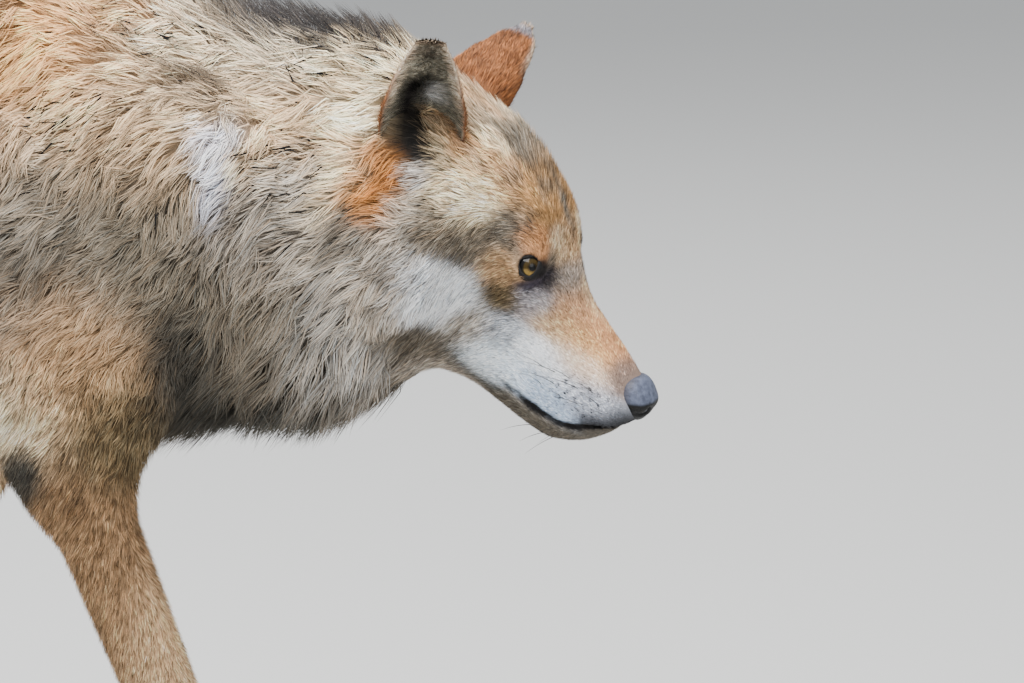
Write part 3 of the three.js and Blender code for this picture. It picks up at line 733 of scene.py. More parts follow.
# the edge of the right eye's lids, rightward and upward from its middle
LID_LINE = [
    (-6.4, 3.6), (-3.8, 5.0), (0, 5.8), (3.6, 6.2), (7.2, 6.4), (7.0, 3.4), (5.9, -0.6), (4.0, -4.2),
    (0.9, -6.4), (-2.4, -5.4), (-5.0, -2.0),
]
# further round the eye from the lids' edge, and distance from its middle
LID_RINGS = [
    (0, 11.2), (0, 12.1), (0.05, 12.5), (0.1, 12.7), (0.2, 12.7), (0.35, 12.4), (0.55, 11.8), (0.85, 10.2),
]
LID_REACH = 11.8


def lid_ring(side):
    """Directions of the lids' edge from the eye's middle, in the head's frame."""
    rows = np.array(LID_LINE)
    loop = smoothed(np.vstack([rows, rows[:1]]), 6)[:-1]
    far = np.sqrt(np.maximum(LID_REACH**2 - (loop**2).sum(1), 1))
    out = loop[:, :1] * EYE_RIGHTWARD + loop[:, 1:] * EYE_UPWARD + far[:, None] * EYE_OUT
    return unit(out) * (1, -side, 1)


def lids(side):
    """Upper and lower lid as one band around the eyeball, sunk into the skin at its outer edge."""
    edge = lid_ring(side)
    middle = unit(edge.mean(0))
    angle = np.arccos(np.clip(edge @ middle, -1, 1))
    away = unit(edge - np.cos(angle)[:, None] * middle)
    centre = in_head(eye_centre(side))
    points = []
    for more, radius in LID_RINGS:
        a = (angle + more)[:, None]
        points.append(head(centre + radius * (np.cos(a) * middle + np.sin(a) * away)))
    n = len(edge)
    world = np.concatenate(points)
    tris = split(world, grid_faces(len(points), n))
    outward = normals_of(world, tris)[3 * n:4 * n] * (world[3 * n:4 * n] - head(centre))
    if outward.sum() < 0:
        tris = tris[:, ::-1]
    return world, tris, np.repeat(np.arange(len(points)), n)


# ---------------------------------------------------------------- markings
BLACK, SOOT, SMOKE = (0.008, 0.007, 0.007), (0.05, 0.048, 0.043), (0.15, 0.132, 0.11)
GREY, WOOL = (0.42, 0.375, 0.325), (0.66, 0.66, 0.72)
WHITE, CREAM = (0.93, 0.95, 0.98), (0.93, 0.77, 0.57)
SAND, ORANGE, FAWN = (0.72, 0.545, 0.39), (0.74, 0.425, 0.24), (0.45, 0.31, 0.205)
TAN, COPPER, RUST = (0.56, 0.395, 0.27), (0.66, 0.37, 0.2), (0.36, 0.165, 0.075)
UMBER, CREST, INK = (0.14, 0.11, 0.072), (0.012, 0.015, 0.024), (0.06, 0.053, 0.068)
# name: place (along, height), spread, colour
BODY_MARKS = {
    "withers": ((-30, 655), (55, 32), ORANGE),
    "shoulder_top": ((35, 612), (45, 34), SAND),
    "shoulder_blade": ((-20, 540), (52, 48), (0.165, 0.152, 0.132)),
    "shoulder_point": ((45, 536), (40, 40), (0.17, 0.147, 0.118)),
    "moult_upper": ((104, 598), (8, 7), WOOL),
    "moult_lower": ((104, 574), (5, 15), WOOL),
    "nape": ((150, 650), (75, 22), (0.95, 0.83, 0.67)),
    "neck_upper": ((160, 608), (60, 20), SAND),
    "neck_side": ((203, 538), (32, 23), (0.23, 0.21, 0.182)),
    "neck_streak": ((188, 545), (6, 17), (0.09, 0.08, 0.066)),
    "ear_patch": ((216, 602), (17, 28), (0.23, 0.098, 0.042)),
    "ear_pink": ((202, 624), (12, 10), COPPER),
    "neck_middle": ((150, 545), (42, 26), GREY),
    "neck_rear": ((100, 625), (28, 30), (0.57, 0.45, 0.33)),
    "neck_lower": ((135, 484), (48, 28), (0.16, 0.14, 0.115)),
    "neck_front": ((200, 474), (30, 26), (0.55, 0.52, 0.48)),
    # the ruff's dark marks below: partly its own dark hair, partly painted shade on its underside
    "ruff_pit": ((84, 440), (20, 34), SOOT),
    "ruff_fringe": ((130, 402), (62, 21), SOOT),
    "ruff_front": ((218, 428), (30, 20), (0.12, 0.105, 0.088)),
    "arm_upper": ((0, 455), (34, 38), FAWN),
    "arm_streak": ((30, 397), (20, 26), UMBER),
    "elbow_spot": ((-36, 364), (9, 10), SOOT),
    # the upper forearm: the leg's own fawn, darkened with painted shade
    "forearm": ((10, 300), (26, 60), (0.28, 0.19, 0.125)),
    "forearm_low": ((62, 215), (28, 50), TAN),
    "wrist": ((85, 150), (40, 40), SAND),
    "fore_paw": ((110, 30), (50, 60), (0.66, 0.5, 0.35)),
    "left_elbow": ((-110, 350), (34, 50), FAWN),
    "left_forearm": ((-145, 230), (45, 70), TAN),
    "left_paw": ((-170, 40), (50, 60), (0.66, 0.5, 0.35)),
    "saddle": ((-250, 695), (170, 30), (0.34, 0.3, 0.25)),
    "ribs": ((-180, 600), (110, 50), SAND),
    "flank": ((-200, 490), (110, 50), GREY),
    "belly": ((-210, 405), (120, 30), CREAM),
    "loin": ((-430, 640), (70, 40), SAND),
    "groin": ((-400, 470), (60, 40), SAND),
    "rump": ((-610, 690), (60, 30), (0.34, 0.3, 0.25)),
    "thigh": ((-560, 580), (80, 60), SAND),
    "haunch": ((-660, 540), (40, 60), TAN),
    "stifle": ((-510, 400), (70, 60), TAN),
    "shank": ((-680, 260), (110, 60), TAN),
    "hind_foot": ((-690, 70), (160, 70), SAND),
    "tail_root": ((-715, 650), (30, 30), GREY),
    "tail_gland": ((-795, 565), (20, 16), SOOT),
    "tail_brush": ((-800, 440), (45, 60), SAND),
    "tail_tip": ((-785, 285), (45, 30), BLACK),
}
# name: place in the head (forward, out, up), spread, colour
HEAD_MARKS = {
    "bridge": ((220, 6, 38), (20, 12, 9), (0.54, 0.31, 0.195)),
    "bridge_side": ((214, 20, 28), (20, 7, 8), (0.62, 0.38, 0.225)),
    "bridge_rear": ((194, 14, 40), (12, 12, 10), (0.44, 0.29, 0.2)),
    "bridge_line": ((205, 0, 47), (40, 4, 5), SAND),
    "nose_edge": ((250, 12, 24), (8, 13, 8), (0.2, 0.155, 0.135)),
    "stop": ((179, 14, 52), (9, 12, 9), (0.31, 0.275, 0.245)),
    "stop_top": ((166, 6, 72), (9, 10, 12), FAWN),
    "muzzle_side": ((222, 25, 14), (16, 9, 7), (0.78, 0.61, 0.49)),
    "muzzle_mix": ((192, 27, 24), (12, 8, 7), TAN),
    "muzzle_pale": ((198, 33, 4), (16, 9, 8), WHITE),
    "whisker_bed": ((240, 28, 0), (18, 12, 9), (0.47, 0.49, 0.54)),
    # white lip hair, tinted blue by a painted reflection of the sky
    "upper_lip": ((208, 38, -16), (26, 10, 8), (0.47, 0.545, 0.66)),
    "lip_corner": ((180, 42, -16), (16, 12, 11), (0.9, 0.96, 1.0)),
    "lip_front": ((261, 12, -8), (9, 11, 8), BLACK),
    "lip_side": ((252, 21, -13), (8, 7, 4), (0.03, 0.03, 0.034)),
    "lower_lip": ((220, 30, -38), (34, 14, 7), (0.11, 0.097, 0.08)),
    "chin": ((244, 8, -44), (16, 18, 9), (0.1, 0.088, 0.073)),
    "jaw": ((160, 30, -62), (34, 30, 12), GREY),
    "under_eye": ((173, 31, 31), (9, 8, 8), (0.5, 0.475, 0.49)),
    "cheek_front": ((171, 41, 2), (12, 12, 9), (0.43, 0.45, 0.48)),
    "cheek_shade": ((150, 50, -6), (10, 12, 10), GREY),
    "cheek": ((122, 73, 8), (18, 21, 14), WHITE),
    "cheek_rear": ((92, 98, -8), (18, 20, 20), GREY),
    "cheek_low": ((128, 62, -42), (24, 20, 14), SMOKE),
    "eye_rear": ((142, 45, 41), (10, 10, 9), FAWN),
    "eye_above": ((134, 45, 61), (10, 10, 9), SMOKE),
    "eye_band": ((118, 60, 44), (13, 12, 10), (0.185, 0.16, 0.13)),
    "eye_band_rear": ((98, 75, 44), (16, 14, 10), (0.21, 0.18, 0.145)),
    "band_end": ((74, 88, 44), (14, 12, 12), GREY),
    "temple_pale": ((98, 61, 68), (14, 12, 9), CREAM),
    "temple": ((92, 48, 86), (14, 12, 10), (0.88, 0.64, 0.44)),
    "ear_front": ((74, 47, 96), (7, 9, 9), RUST),
    "ear_lobe": ((70, 58, 84), (7, 8, 7), (0.4, 0.34, 0.25)),
    "rear_lobe": ((45, 73, 72), (6, 6, 6), (0.66, 0.44, 0.25)),
    "ear_hollow": ((52, 67, 82), (8, 10, 7), SOOT),
    "ear_tuft": ((60, 70, 66), (7, 8, 5), (0.5, 0.47, 0.44)),
    "ear_rear": ((40, 62, 60), (9, 9, 7), (0.3, 0.135, 0.062)),
    "ear_behind": ((31, 63, 56), (9, 9, 8), (0.34, 0.16, 0.078)),
    "ear_foot": ((46, 69, 50), (9, 9, 8), (0.25, 0.107, 0.048)),
    "ear_below": ((51, 77, 37), (10, 10, 9), RUST),
    "ear_shade": ((50, 89, 12), (9, 11, 11), (0.24, 0.215, 0.185)),
    "forehead": ((104, 40, 98), (16, 12, 10), (0.5, 0.32, 0.2)),
    "forehead_front": ((134, 18, 92), (16, 14, 12), (0.34, 0.215, 0.125)),
    "forehead_dark": ((104, 16, 106), (20, 6, 8), SMOKE),
    "streak": ((62, 15, 112), (16, 6, 8), CREAM),
    "streak_front": ((86, 27, 107), (12, 5, 7), CREAM),
    "crown": ((40, 16, 108), (20, 24, 16), TAN),
    "brow": ((149, 38, 67), (8, 8, 6), (0.38, 0.215, 0.13)),
    "brow_inner": ((160, 20, 67), (6, 6, 7), SAND),
    "brow_smudge": ((161, 26, 61), (5, 5, 4), SMOKE),
    "tear_corner": ((169, 27, 49), (6, 6, 6), (0.028, 0.025, 0.03)),
    "tear_trough": ((165, 36, 42), (6, 6, 5), INK),
    "eye_wedge": ((162, 41, 57), (3.5, 4, 4), BLACK),
    # painted shade below and behind the eye
    "shade_below_eye": ((157, 42, 24), (11, 8, 6), (0.11, 0.085, 0.055)),
    "nape": ((5, 50, 60), (25, 40, 40), CREAM),
    "throat": ((70, 40, -90), (60, 50, 25), SMOKE),
}


# a mark smaller than this area or volume outweighs the larger ones that it lies over
MARK_SIZE = {2: 900, 3: 1100}
MARK_FALL, MOST_WEIGHT = 0.85, 5


def dabbed(places, marks):
    """Colours blended from the marks by nearness, small marks lying over large ones."""
    total = np.full(len(places), 1e-6)
    colour = np.full((len(places), 3), 1e-6) * TAN
    for place, spread, tint in marks.values():
        q = (places - place) / spread
        weight = np.clip(MARK_SIZE[len(spread)] / np.prod(spread), 1, MOST_WEIGHT)
        w = np.exp(-MARK_FALL * (q**2).sum(1)) * weight
        total += w
        colour += w[:, None] * np.array(tint)
    return colour / total[:, None]


def body_colour(points, normals):
    """The marks of the body, a darker saddle, pale insides of the legs, and broad bars of light and dark."""
    unmoulted = {name: mark for name, mark in BODY_MARKS.items() if not name.startswith("moult")}
    right = (points[:, 1] < 0)[:, None]
    places = points[:, [0, 2]]
    tint = np.where(right, dabbed(places, BODY_MARKS), dabbed(places, unmoulted))
    saddle = ramp(normals[:, 2], 0.55, 0.95) * ramp(points[:, 2], 560, 620)
    tint = mixed(tint, SMOKE, saddle * (0.5 - 0.3 * ramp(points[:, 0], -60, 90)))
    inside = ramp(-normals[:, 1] * np.sign(points[:, 1]), 0.2, 0.9) * (1 - ramp(points[:, 2], 380, 430))
    inside = inside * (1 - ramp(points[:, 0], 40, 90))
    tint = mixed(tint, CREAM, inside * 0.45)
    return tint * (0.75 + 0.5 * noise(points, 34, 3))[:, None]


def face_colour(points):
    """The marks of the head, a dark stripe down the forehead and a grizzled crown."""
    q = in_head(points)
    tint = dabbed(np.stack([q[:, 0], np.abs(q[:, 1]), q[:, 2]], 1), HEAD_MARKS)
    stripe = np.exp(-0.5 * (q[:, 1] / 4.5) ** 2) * ramp(q[:, 0], 70, 95) * (1 - ramp(q[:, 0], 150, 172))
    grizzle = ramp(q[:, 2], 60, 95) * ramp(noise(q * (0.3, 1, 1), 6, 5), 0.45, 0.75)
    tint = mixed(tint, SMOKE, np.clip(stripe * 0.75 + grizzle * 0.6, 0, 1))
    return tint * (0.82 + 0.36 * noise(q, 13, 8))[:, None]


def lip_line(points):
    """Share of the black line along the lips, broadening toward the nose."""
    q = in_head(points)
    wide = 1.4 + 1.6 * ramp(q[:, 0], 192, 214)
    beyond = ramp(from_lips(points) + 2.2 * noise(q, 5, 2), wide, wide + 2)
    return (1 - beyond) * ramp(q[:, 0], 184, 194)


def under_lip(points):
    """Share of the lower lip and the jaw, below the line where the lips meet."""
    q = in_head(points)
    height = np.interp(q[:, 0], [x for x, _, z in LIP_LINE], [z for _, _, z in LIP_LINE])
    return ramp(height - q[:, 2], 0.5, 3) * ramp(q[:, 0], 184, 196)


LOWER_LIP = (0.14, 0.125, 0.105)
BRIGHTNESS = np.array([0.25, 0.6, 0.15])
VIVIDNESS = 1.4
DARKEST = 0.004


def markings(points, normals, heads):
    """The coat's colour at points of the skin, and the share of the black line of the lips."""
    line = lip_line(points)
    face = mixed(face_colour(points), LOWER_LIP, 0.85 * under_lip(points))
    face = mixed(face, BLACK, line)
    tint = mixed(body_colour(points, normals), face, ramp(heads, 0.25, 0.75))
    tint = mixed(tint, CREST, 0.92 * crest_of(points, normals))
    grey = (tint @ BRIGHTNESS)[:, None]
    return np.maximum(grey + VIVIDNESS * (tint - grey), DARKEST), line * ramp(heads, 0.3, 0.6)


def crest_of(points, normals):
    """Share of the dark bristles that stand along the top of the neck."""
    along = ramp(points[:, 0], 40, 120) * (1 - ramp(points[:, 0], 238, 252))
    return along * ramp(normals[:, 2], 0.86, 0.965) * ramp(points[:, 2], 540, 590)


# what a place on the skin belongs to, and the values that part these three
ON_BODY, EAR_OUTSIDE, EAR_INSIDE = 0.0, 1.0, 2.0
ANY_EAR, INNER_EAR = 0.5, 1.5
EAR_PIT = (0.016, 0.014, 0.012)
# share of black on each ring of the lids
LID_BLACK = np.array([1, 1, 1, 1, 1, 1, 0.8, 0.5])
EYE_SURROUND = 34
# tufts stand this far apart, and farther where the coat is deep
SPACING, SPACING_PER_DEPTH = 1.3, 0.07
# the head, neck, shoulder and foreleg on the right have the finest and densest coat
FINE_REAR, FINE_LEFT, FINE_LOW = -70, 25, 190
FINE_DENSITY, COARSE_DENSITY, HEAD_DENSITY = 2.4, 0.85, 1.25


def eased_by_eye(side, part):
    """Bald and black in the eye's opening, short around it, with the hair laid away from it."""
    away = part["p"] - eye_centre(side)
    close = np.linalg.norm(away, axis=1) < EYE_SURROUND
    beside = np.where(close, from_sight(part["p"], side), FAR_AWAY)
    part["bald"] = np.clip(part["bald"] + 1 - ramp(beside, 7.0, 7.7), 0, 1)
    part["c"] = mixed(part["c"], BLACK, 1 - ramp(beside, 7.2, 8.3))
    part["depth"] = part["depth"] * (0.4 + 0.6 * ramp(beside, 9, 19))
    part["flow"] = part["flow"] + unit(away) * (1.3 * (1 - ramp(beside, 10, 22)))[:, None]


def eased_by_ear(side, part):
    """Short around the ear's base, with a dark bald pit in the mouth of its cup."""
    base, _, axes = ear_frame(side)
    across, up, out = ((part["p"] - base) @ axes).T
    fore = -side * across
    by_ear = np.exp(-(fore / 26) ** 2 - ((out - 5) / 20) ** 2 - (up / 25) ** 2)
    part["depth"] = part["depth"] * (1 - 0.45 * by_ear)
    low = ramp(out, 0, 15)
    pit = np.exp(-((fore + 5 - 7 * low) / (16 - 6 * low)) ** 4)
    pit = pit * (1 - ramp(out, 11, 18)) * ramp(out, -34, -24) * (np.abs(up) < 30)
    part["c"] = mixed(part["c"], EAR_PIT, pit)
    part["bald"] = np.clip(part["bald"] + 0.9 * pit, 0, 1)


def body_part():
    """The body's share of the skin, its tufts densest on the right of the head, neck and foreleg."""
    points, tris = body_skin()
    normals = slope(points)
    depth, flow, heads = lay_of_coat(points)
    colour, line = markings(points, normals, heads)
    part = dict(p=points, t=tris, n=normals, depth=depth, flow=flow, c=colour, bald=0.5 * line)
    for side in (-1, 1):
        eased_by_eye(side, part)
        eased_by_ear(side, part)
    from_nose = np.linalg.norm((in_head(points) - NOSE) / (1, 1.05, 1.05), axis=1)
    bald = np.clip(part.pop("bald") + (1 - ramp(from_nose, 16.5, 18)), 0, 1)
    bald = np.where(points[:, 2] < SOLE_HEIGHT, 1, bald)
    spacing = SPACING + SPACING_PER_DEPTH * part["depth"]
    x, y, z = points.T
    fine = (x > FINE_REAR) & (y < FINE_LEFT) & (z > FINE_LOW)
    part["dense"] = (1 - bald) / spacing**2 * np.where(heads > 0.5, HEAD_DENSITY, 1)
    part["dense"] *= np.where(fine, FINE_DENSITY, COARSE_DENSITY)
    part["ear"] = np.full(len(points), ON_BODY)
    return part


EAR_BACK, EAR_PATCH, EAR_TOP = (0.21, 0.078, 0.028), (0.2, 0.185, 0.2), (0.3, 0.22, 0.15)
EAR_CUP, EAR_CUP_TOP = (0.2, 0.18, 0.135), (0.16, 0.135, 0.1)
EAR_SILVER, EAR_HOLLOW = (0.4, 0.39, 0.37), (0.012, 0.01, 0.01)


def silver_hair(share, fore):
    """Share of the long silver hair along the front of the cup."""
    return np.exp(-((fore - 0.35) / 0.5) ** 2) * ramp(share, 0.08, 0.2) * (1 - ramp(share, 0.42, 0.56))


def ear_colours(points, inner, share, turn, fore):
    """Orange back with a grey tip patch, dark hollow and silver hair in the cup, and a sandy rim."""
    edge = ramp(np.abs(turn), 1.1, 1.5)
    back = np.broadcast_to(EAR_BACK, points.shape) * (0.7 + 0.6 * noise(points, 7, 4))[:, None]
    back = mixed(back, EAR_PATCH, ramp(share, 0.8, 0.88) * (1 - edge))
    back = mixed(back, SAND, edge * ramp(share, 0.3, 0.8))
    hollow = np.exp(-((fore + 0.5) / 0.5) ** 2) * (1 - ramp(share, 0.42, 0.6))
    cup = mixed(np.broadcast_to(EAR_CUP, points.shape), EAR_CUP_TOP, ramp(share, 0.72, 0.9))
    cup = cup * (0.4 + 1.2 * noise(points, 3, 6))[:, None]
    cup = mixed(cup, SAND, edge * ramp(share, 0.15, 0.5) * 0.8)
    cup = mixed(cup, EAR_SILVER, silver_hair(share, fore))
    cup = mixed(cup, EAR_HOLLOW, hollow)
    return mixed(np.where(inner[:, None], cup, back), EAR_TOP, ramp(share, 0.955, 0.98))


def ear_part(side):
    """One ear's share of the skin, with short hair outside and longer hair across its cup."""
    points, tris, inner, share, turn = ear_shell(side)
    axes = ear_frame(side)[2]
    fore = -side * turn
    inward = np.where(inner, 0.9, 0.2) * -np.sin(turn)
    lay = np.broadcast_to(axes[:, 1], points.shape) + axes[:, 0] * inward[:, None]
    cup_hair = 3.6 + 3.5 * silver_hair(share, fore) + 0.8 * ramp(np.abs(turn), 1.1, 1.5)
    hair = np.where(inner, cup_hair, 2.2 + 3 * ramp(-share, -0.25, 0.1))
    hair = hair * (1 - 0.45 * ramp(share, 0.75, 1))
    dense = np.where(inner, 1.8, 0.6) * np.where(share > 0.02, 1, 0.2) * 1.5
    return dict(
        p=points, t=tris, n=normals_of(points, tris), depth=hair, flow=lay, dense=dense,
        c=ear_colours(points, inner, share, turn, fore), ear=np.where(inner, EAR_INSIDE, EAR_OUTSIDE),
    )


def lid_part(side):
    """The lids' share of the skin, bare and black at the edge."""
    points, tris, ring = lids(side)
    normals = normals_of(points, tris)
    colour = mixed(markings(points, normals, np.ones(len(points)))[0], BLACK, LID_BLACK[ring])
    bare = np.zeros(len(points))
    return dict(
        p=points, t=tris, n=normals, depth=np.full(len(points), 1.3), dense=bare, c=colour, ear=bare,
        flow=normals * 0.4 - HEAD[:, 0] - HEAD[:, 2] * 0.3,
    )


def build_skin():
    """Every part of the skin with its coat's depth, flow, tuft density and colour, as one set of arrays."""
    parts = [body_part()]
    for side in (-1, 1):
        parts += [ear_part(side), lid_part(side)]
    start = 0
    for part in parts:
        part["t"] = part["t"] + start
        start += len(part["p"])
    return {key: np.concatenate([part[key] for part in parts]) for key in parts[0]}


# ---------------------------------------------------------------- meshes and materials
def mesh_piece(name, points, tris, material, colours, nodes=(), patches=None, normals=None):
    """A painted mesh object in the shared frame from points in millimetres, replacing these nodes."""
    mesh = bpy.data.meshes.new(name)
    mesh.vertices.add(len(points))
    mesh.vertices.foreach_set("co", ((points + SHIFT) / 1000).astype(np.float32).ravel())
    mesh.loops.add(tris.size)
    mesh.loops.foreach_set("vertex_index", tris.astype(np.int32).ravel())
    mesh.polygons.add(len(tris))
    mesh.polygons.foreach_set("loop_start", np.arange(0, tris.size, 3, dtype=np.int32))
    mesh.update(calc_edges=True)
    mesh.validate()
    mesh.shade_smooth()
    layer = mesh.color_attributes.new("coat", "FLOAT_COLOR", "POINT")
    rgba = np.ones((len(points), 4), np.float32)
    rgba[:, :3] = np.clip(colours, 0.002, 0.95)
    layer.data.foreach_set("color", rgba.ravel())
    if patches is not None:
        layer = mesh.uv_layers.new(name="OFBake")
        layer.data.foreach_set("uv", patches[tris.ravel()].astype(np.float32).ravel())
    if normals is not None:
        layer = mesh.attributes.new("custom_normal", "FLOAT_VECTOR", "POINT")
        layer.data.foreach_set("vector", normals.astype(np.float32).ravel())
    mesh.materials.append(material)
    piece = bpy.data.objects.new(name, mesh)
    bpy.context.scene.collection.objects.link(piece)
    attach(piece, "root")
    if nodes:
        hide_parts(*nodes)
    return piece


def grain_group():
    """The grain that every finish shares: paint varied by a fine speckle, and the speckle as a height."""
    group = bpy.data.node_groups.new("grain", "ShaderNodeTree")
    face = group.interface
    face.new_socket("Paint", in_out="INPUT", socket_type="NodeSocketColor")
    face.new_socket("Fineness", in_out="INPUT", socket_type="NodeSocketFloat")
    face.new_socket("Colour", in_out="OUTPUT", socket_type="NodeSocketColor")
    face.new_socket("Height", in_out="OUTPUT", socket_type="NodeSocketFloat")
    nodes, link = group.nodes, group.links.new
    given = nodes.new("NodeGroupInput")
    result = nodes.new("NodeGroupOutput")
    place = nodes.new("ShaderNodeTexCoord")
    speckle = nodes.new("ShaderNodeTexNoise")
    speckle.inputs["Detail"].default_value = 3
    link(place.outputs["Object"], speckle.inputs["Vector"])
    link(given.outputs["Fineness"], speckle.inputs["Scale"])
    level = nodes.new("ShaderNodeMapRange")
    level.inputs["To Min"].default_value = 0.75
    level.inputs["To Max"].default_value = 1.25
    link(speckle.outputs["Fac"], level.inputs["Value"])
    tint = nodes.new("ShaderNodeMix")
    tint.data_type = "RGBA"
    tint.blend_type = "MULTIPLY"
    tint.inputs["Factor"].default_value = 1
    link(given.outputs["Paint"], tint.inputs["A"])
    link(level.outputs["Result"], tint.inputs["B"])
    link(tint.outputs["Result"], result.inputs["Colour"])
    link(speckle.outputs["Fac"], result.inputs["Height"])
    return group


# roughness of the wet layer, and the height of the grain in metres
WET_ROUGHNESS = 0.03
RELIEF_HEIGHT = 0.0006


def painted(name, roughness, fineness, bump, coat=0.0, specular=0.5):
    """A material coloured by the piece's own paint, with the shared grain."""
    material = bpy.data.materials.new(name)
    material.use_nodes = True
    nodes, link = material.node_tree.nodes, material.node_tree.links.new
    shader = nodes["Principled BSDF"]
    shader.inputs["Roughness"].default_value = roughness
    shader.inputs["Coat Weight"].default_value = coat
    shader.inputs["Coat Roughness"].default_value = WET_ROUGHNESS
    shader.inputs["Specular IOR Level"].default_value = specular
    paint = nodes.new("ShaderNodeAttribute")
    paint.attribute_name = "coat"
    grain = nodes.new("ShaderNodeGroup")
    grain.node_tree = GRAIN
    grain.inputs["Fineness"].default_value = fineness
    link(paint.outputs["Color"], grain.inputs["Paint"])
    link(grain.outputs["Colour"], shader.inputs["Base Color"])
    if bump:
        relief = nodes.new("ShaderNodeBump")
        relief.inputs["Strength"].default_value = bump
        relief.inputs["Distance"].default_value = RELIEF_HEIGHT
        link(grain.outputs["Height"], relief.inputs["Height"])
        link(relief.outputs["Normal"], shader.inputs["Normal"])
    return material


# ---------------------------------------------------------------- the coat
# nothing reaches below this height
LOWEST = 0.3


def roots_on(skin, count):
    """Evenly scattered places on the skin, thicker where the coat is dense."""
    a, b, c = [skin["p"][skin["t"][:, i]] for i in range(3)]
    area = np.linalg.norm(np.cross(b - a, c - a), axis=1) / 2
    share = np.cumsum(area * skin["dense"][skin["t"]].mean(1))
    at = (np.arange(count) + RNG.random(count)) / count * share[-1]
    tri = skin["t"][np.minimum(np.searchsorted(share, at), len(share) - 1)]
    u, v = RNG.random((2, count))
    flip = u + v > 1
    u, v = np.where(flip, 1 - u, u), np.where(flip, 1 - v, v)
    w = np.stack([1 - u - v, u, v], 1)
    out = {}
    for key in ("p", "n", "depth", "flow", "c", "ear"):
        value = skin[key][tri]
        out[key] = (value * (w[:, :, None] if value.ndim == 3 else w)).sum(1)
    out["n"] = unit(out["n"])
    return out


# tufts to a lock, how far their ends draw together, and how much the locks vary in tone
LOCKS = [(9, 0.55, 0.17), (70, 0.3, 0.1)]


def clumped(p, tips, mids, reach):
    """Pulls the hairs' ends toward those of the nearest lead hair and gives each lock its own tone."""
    tone = np.ones(len(p))
    for every, pull, vary in LOCKS:
        lead = RNG.permutation(len(p))[: max(1, len(p) // every)]
        tree = kdtree.KDTree(len(lead))
        for k, i in enumerate(lead):
            tree.insert(p[i], k)
        tree.balance()
        near = lead[[tree.find(q)[1] for q in p]]
        gap = np.linalg.norm(p[near] - p, axis=1)
        share = pull * np.clip(1.6 - gap / (0.9 * reach + 1), 0, 1) * np.clip(reach / 16, 0.25, 1)
        tips = mixed(tips, tips[near], share)
        mids = mixed(mids, mids[near], share * 0.45)
        tone = tone * RNG.normal(1, vary, len(p))[near]
    return tips, mids, tone.clip(0.5, 1.6)


def flow_of(root):
    """The hair's way along the skin, with gentle swirls and each hair's own stray."""
    n, d = root["n"], root["flow"]
    d = unit(d - n * (d * n).sum(1)[:, None] * 0.97)
    side = np.cross(n, d)
    depth = root["depth"]
    swirl = (noise(root["p"], 45, 11) - 0.5) * 0.8 + (noise(root["p"], 14, 12) - 0.5) * 1.2
    swirl = swirl + (noise(root["p"], 6, 13) - 0.5) * 0.9
    swirl = swirl * np.clip(depth / 12, 0.25, 1) + RNG.normal(0, 1, len(n)) * (0.15 + 0.006 * depth)
    return unit(d * np.cos(swirl)[:, None] + side * np.sin(swirl)[:, None])


# rows of dots on the upper lip where whiskers root, forward and up
WHISKER_DOTS = np.array([(225 + 7 * i - 2 * j, 6 - 5.5 * j) for i in range(5) for j in range(4)])
DOT_RADIUS = 1.5


def by_whisker(root):
    """Which tufts stand in the dark dots of the upper lip."""
    q = in_head(root["p"])
    nearest = np.full(len(q), FAR_AWAY)
    bed = np.flatnonzero((q[:, 0] > 212) & (root["depth"] < 3) & (np.abs(q[:, 1]) > 12) & (q[:, 2] < 12))
    if len(bed):
        nearest[bed] = np.linalg.norm(q[bed][:, None, [0, 2]] - WHISKER_DOTS[None], axis=2).min(1)
    return nearest < DOT_RADIUS


def coat_colours(root, guard, strand, tone):
    """Root, middle and tip colours of each tuft: dark at the root, light at the tip, some tips black."""
    p = root["p"]
    n = len(p)
    long = ramp(root["depth"], 5, 12)
    c = root["c"] * tone[:, None]
    c = c * (1 + (0.5 - 0.34 * long) * RNG.normal(0, 1, n)).clip(0.3, 1.7)[:, None]
    patchy = 0.8 + 0.4 * noise(p * (0.6, 1, 1), 8, 31) + 0.9 * (noise(p, 2.6, 32) - 0.5) * (1 - long)
    c = c * patchy[:, None]
    warm = RNG.normal(0, 0.05, n)
    c = c * np.stack([1 + warm, np.ones(n), 1 - warm], 1)
    c = np.where(by_whisker(root)[:, None], BLACK, c)
    pale = ramp(root["c"].mean(1), 0.5, 0.85)[:, None]
    bottom = c * (0.42 + 0.2 * pale)
    middle = c * (0.8 + 0.16 * pale)
    tip = c * (1.25 + 0.25 * RNG.random(n))[:, None]
    dull = 1 - ramp(root["c"].mean(1), 0.4, 0.75)
    black = guard | (RNG.random(n) < 0.3 * (1 - long) * dull * (root["ear"] < INNER_EAR))
    tip = np.where(black[:, None], mixed(tip, BLACK, np.full(n, 0.85)), tip)
    middle = np.where(guard[:, None], mixed(c, BLACK, 0.6 * long), middle)
    middle, tip = [np.where(strand[:, None], BLACK, shade) for shade in (middle, tip)]
    return bottom, middle, tip


def unwrapped(p, along_axis):
    """Places on an unwrap of the skin, as a tube laid out flat: around it and along it."""
    middle = p.mean(0)
    along = p[:, along_axis]
    first, second = [i for i in range(3) if i != along_axis]
    around = np.arctan2(p[:, first] - middle[first], p[:, second] - middle[second])
    u = 0.5 + around / (2 * np.pi)
    v = (along - along.min()) / max(np.ptp(along), 1)
    return 0.01 + 0.97 * np.stack([u, v], 1)


# a tuft's length is this many times the coat's depth, and a little more
LENGTH_PER_DEPTH, SHORTEST = 1.35, 1.1
PATCH_SIZE = 0.003


